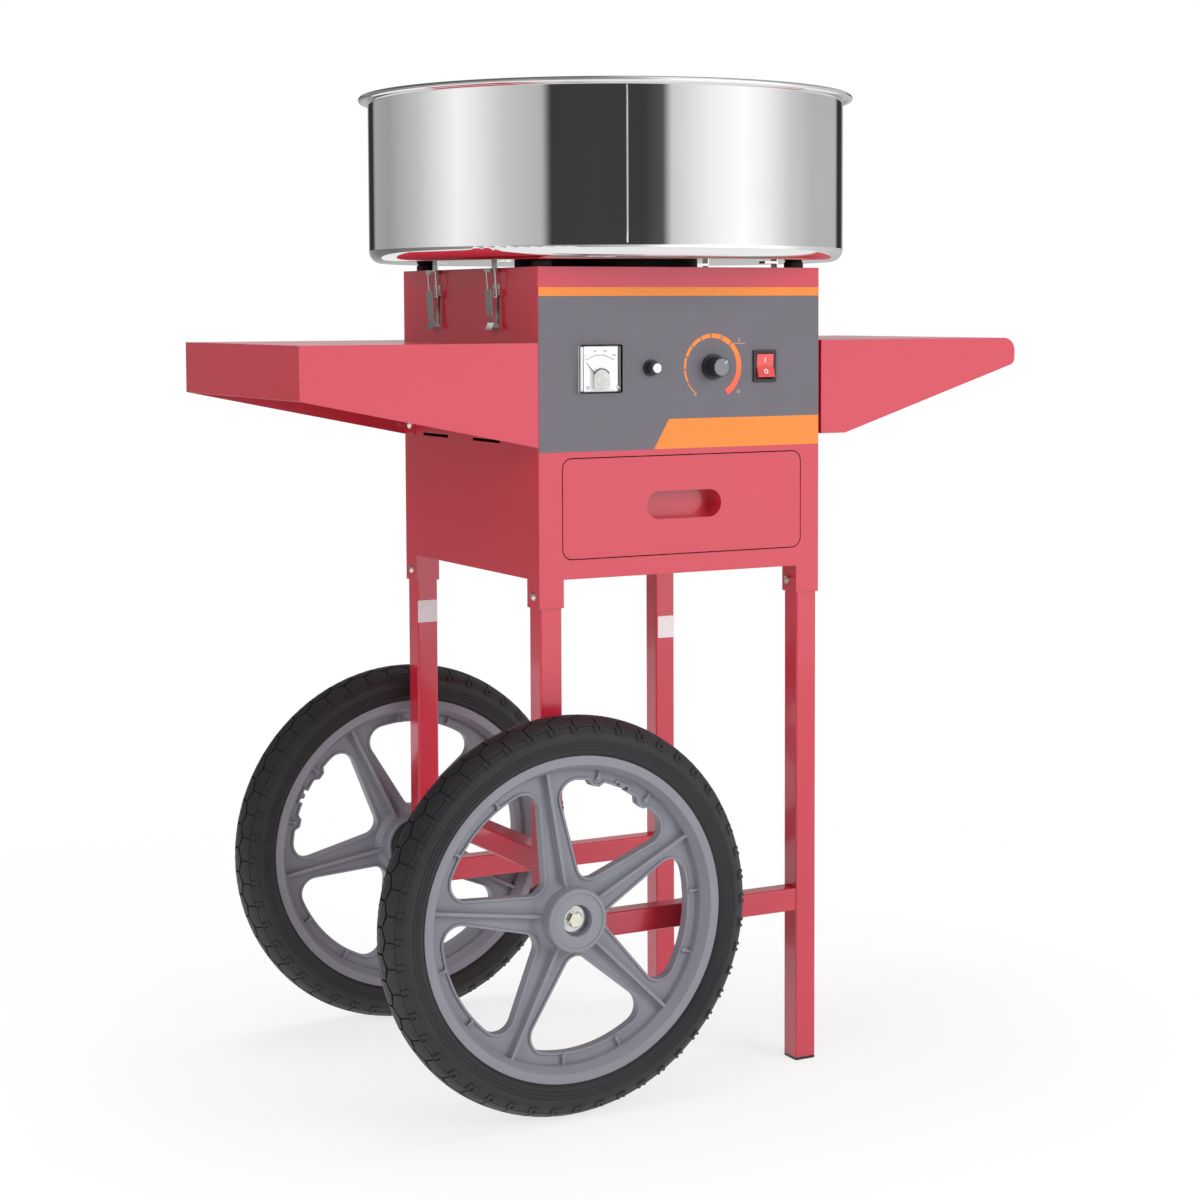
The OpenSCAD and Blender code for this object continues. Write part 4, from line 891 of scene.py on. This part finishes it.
def turn_ramp(tree, around, stops, peak):
    """A brightness that changes with the direction, from (degrees, value) stops."""
    ramp = tree.nodes.new("ShaderNodeValToRGB")
    points = ramp.color_ramp.elements
    for _ in range(len(stops) - 2):
        points.new(0.5)
    for point, (angle, value) in zip(points, stops):
        point.position = 0.5 + angle / 360
        point.color = (value / peak, value / peak, value / peak, 1)
    tree.links.new(around, ramp.inputs["Fac"])
    back = tree.nodes.new("ShaderNodeBackground")
    back.inputs["Strength"].default_value = peak
    tree.links.new(ramp.outputs["Color"], back.inputs["Color"])
    return back


def plain_background(tree, strength):
    """The same white light from every direction."""
    back = tree.nodes.new("ShaderNodeBackground")
    back.inputs["Color"].default_value = (1, 1, 1, 1)
    back.inputs["Strength"].default_value = strength
    return back


def mirrored_room(tree):
    """A studio with softboxes and flags, and the bowl's belt in it."""
    link = tree.links.new
    coords = tree.nodes.new("ShaderNodeTexCoord")
    turn = tree.nodes.new("ShaderNodeVectorRotate")
    turn.rotation_type = "Z_AXIS"
    turn.inputs["Angle"].default_value = math.radians(90 - CAMERA_TURN)
    around = tree.nodes.new("ShaderNodeTexGradient")
    around.gradient_type = "RADIAL"
    link(coords.outputs["Generated"], turn.inputs["Vector"])
    link(turn.outputs["Vector"], around.inputs["Vector"])
    belt = turn_ramp(tree, around.outputs["Fac"], BELT, BELT_PEAK)
    room = turn_ramp(tree, around.outputs["Fac"], ROOM, ROOM_PEAK)
    height = tree.nodes.new("ShaderNodeSeparateXYZ")
    link(coords.outputs["Generated"], height.inputs[0])
    link(map_range(tree, height.outputs["Z"], *CEILING), room.inputs["Strength"])
    in_belt = tree.nodes.new("ShaderNodeMath")
    in_belt.operation = "MULTIPLY"
    link(map_range(tree, height.outputs["Z"], *BELT_HEAD), in_belt.inputs[0])
    link(map_range(tree, height.outputs["Z"], *BELT_FOOT), in_belt.inputs[1])
    return mix_shader(tree, in_belt.outputs[0], room, belt)


def studio_world():
    """White behind the cart, soft light on it, and the studio in what shines."""
    world = bpy.data.worlds.new("studio")
    bpy.context.scene.world = world
    world.use_nodes = True
    tree = world.node_tree
    tree.nodes.clear()
    glossy = ray_mask(tree, ["Is Glossy Ray"])
    lit = mix_shader(tree, glossy, plain_background(tree, SOFT_LIGHT), mirrored_room(tree))
    looking = ray_mask(tree, ["Is Camera Ray", "Is Transmission Ray"])
    seen = mix_shader(tree, looking, lit, plain_background(tree, 1))
    output = tree.nodes.new("ShaderNodeOutputWorld")
    tree.links.new(seen.outputs[0], output.inputs["Surface"])


def floor():
    """A pale round floor that fades into the white background, and keeps a soft shadow."""
    data = bpy.data.meshes.new("floor")
    turns = [math.tau * k / FLOOR_STEPS for k in range(FLOOR_STEPS)]
    rim = [(FLOOR_R * math.cos(turn), FLOOR_R * math.sin(turn), 0) for turn in turns]
    data.from_pydata(rim, [], [list(range(FLOOR_STEPS))])
    obj = bpy.data.objects.new("floor", data)
    bpy.context.scene.collection.objects.link(obj)
    pale = Finish("pale_floor", (0.93, 0.93, 0.93), 0.8)
    pale.mottle(3, 0.01)
    tree = pale.tree
    away = pale.add("ShaderNodeVectorMath", operation="LENGTH")
    pale.link(pale.place, away.inputs[0])
    fade = pale.ramp(away.outputs["Value"], FLOOR_WHITE, 1, *FLOOR_FADE)
    looking = ray_mask(tree, ["Is Camera Ray", "Is Glossy Ray", "Is Transmission Ray"])
    seen = pale.add("ShaderNodeMath", operation="MULTIPLY")
    pale.link(fade, seen.inputs[0])
    pale.link(looking, seen.inputs[1])
    white = pale.add("ShaderNodeEmission")
    white.inputs["Color"].default_value = (1, 1, 1, 1)
    both = mix_shader(tree, seen.outputs[0], pale.shader, white)
    pale.link(both.outputs[0], tree.nodes["Material Output"].inputs["Surface"])
    data.materials.append(pale.material)


def area_light(name, at, target, size, power):
    """A round lamp, aimed at its target, that no reflection shows."""
    light = bpy.data.lights.new(name, "AREA")
    light.shape = "DISK"
    light.size = size
    light.energy = power
    obj = bpy.data.objects.new(name, light)
    bpy.context.scene.collection.objects.link(obj)
    obj.location = at
    obj.rotation_euler = (Vector(target) - Vector(at)).to_track_quat("-Z", "Y").to_euler()
    obj.visible_glossy = False


def camera():
    """The photograph's camera."""
    turn, pitch, roll = (math.radians(v) for v in (CAMERA_TURN, CAMERA_PITCH, CAMERA_ROLL))
    ahead = Vector((
        -math.sin(turn) * math.cos(pitch), math.cos(turn) * math.cos(pitch), math.sin(pitch),
    ))
    right = Vector((math.cos(turn), math.sin(turn), 0))
    up = right.cross(ahead)
    tilted = right * math.cos(roll) + up * math.sin(roll)
    upright = up * math.cos(roll) - right * math.sin(roll)
    data = bpy.data.cameras.new("camera")
    data.lens = CAMERA_LENS
    data.sensor_width = CAMERA_SENSOR
    data.shift_x, data.shift_y = CAMERA_SHIFT
    data.clip_end = CAMERA_REACH
    obj = bpy.data.objects.new("camera", data)
    bpy.context.scene.collection.objects.link(obj)
    aim = Matrix((tilted, upright, -ahead)).transposed().to_4x4()
    obj.matrix_world = Matrix.Translation(CAMERA_AT) @ aim
    bpy.context.scene.camera = obj


studio_world()
floor()
for lamp in LAMPS:
    area_light(*lamp)
camera()
scene = bpy.context.scene
scene.view_settings.view_transform = "Standard"
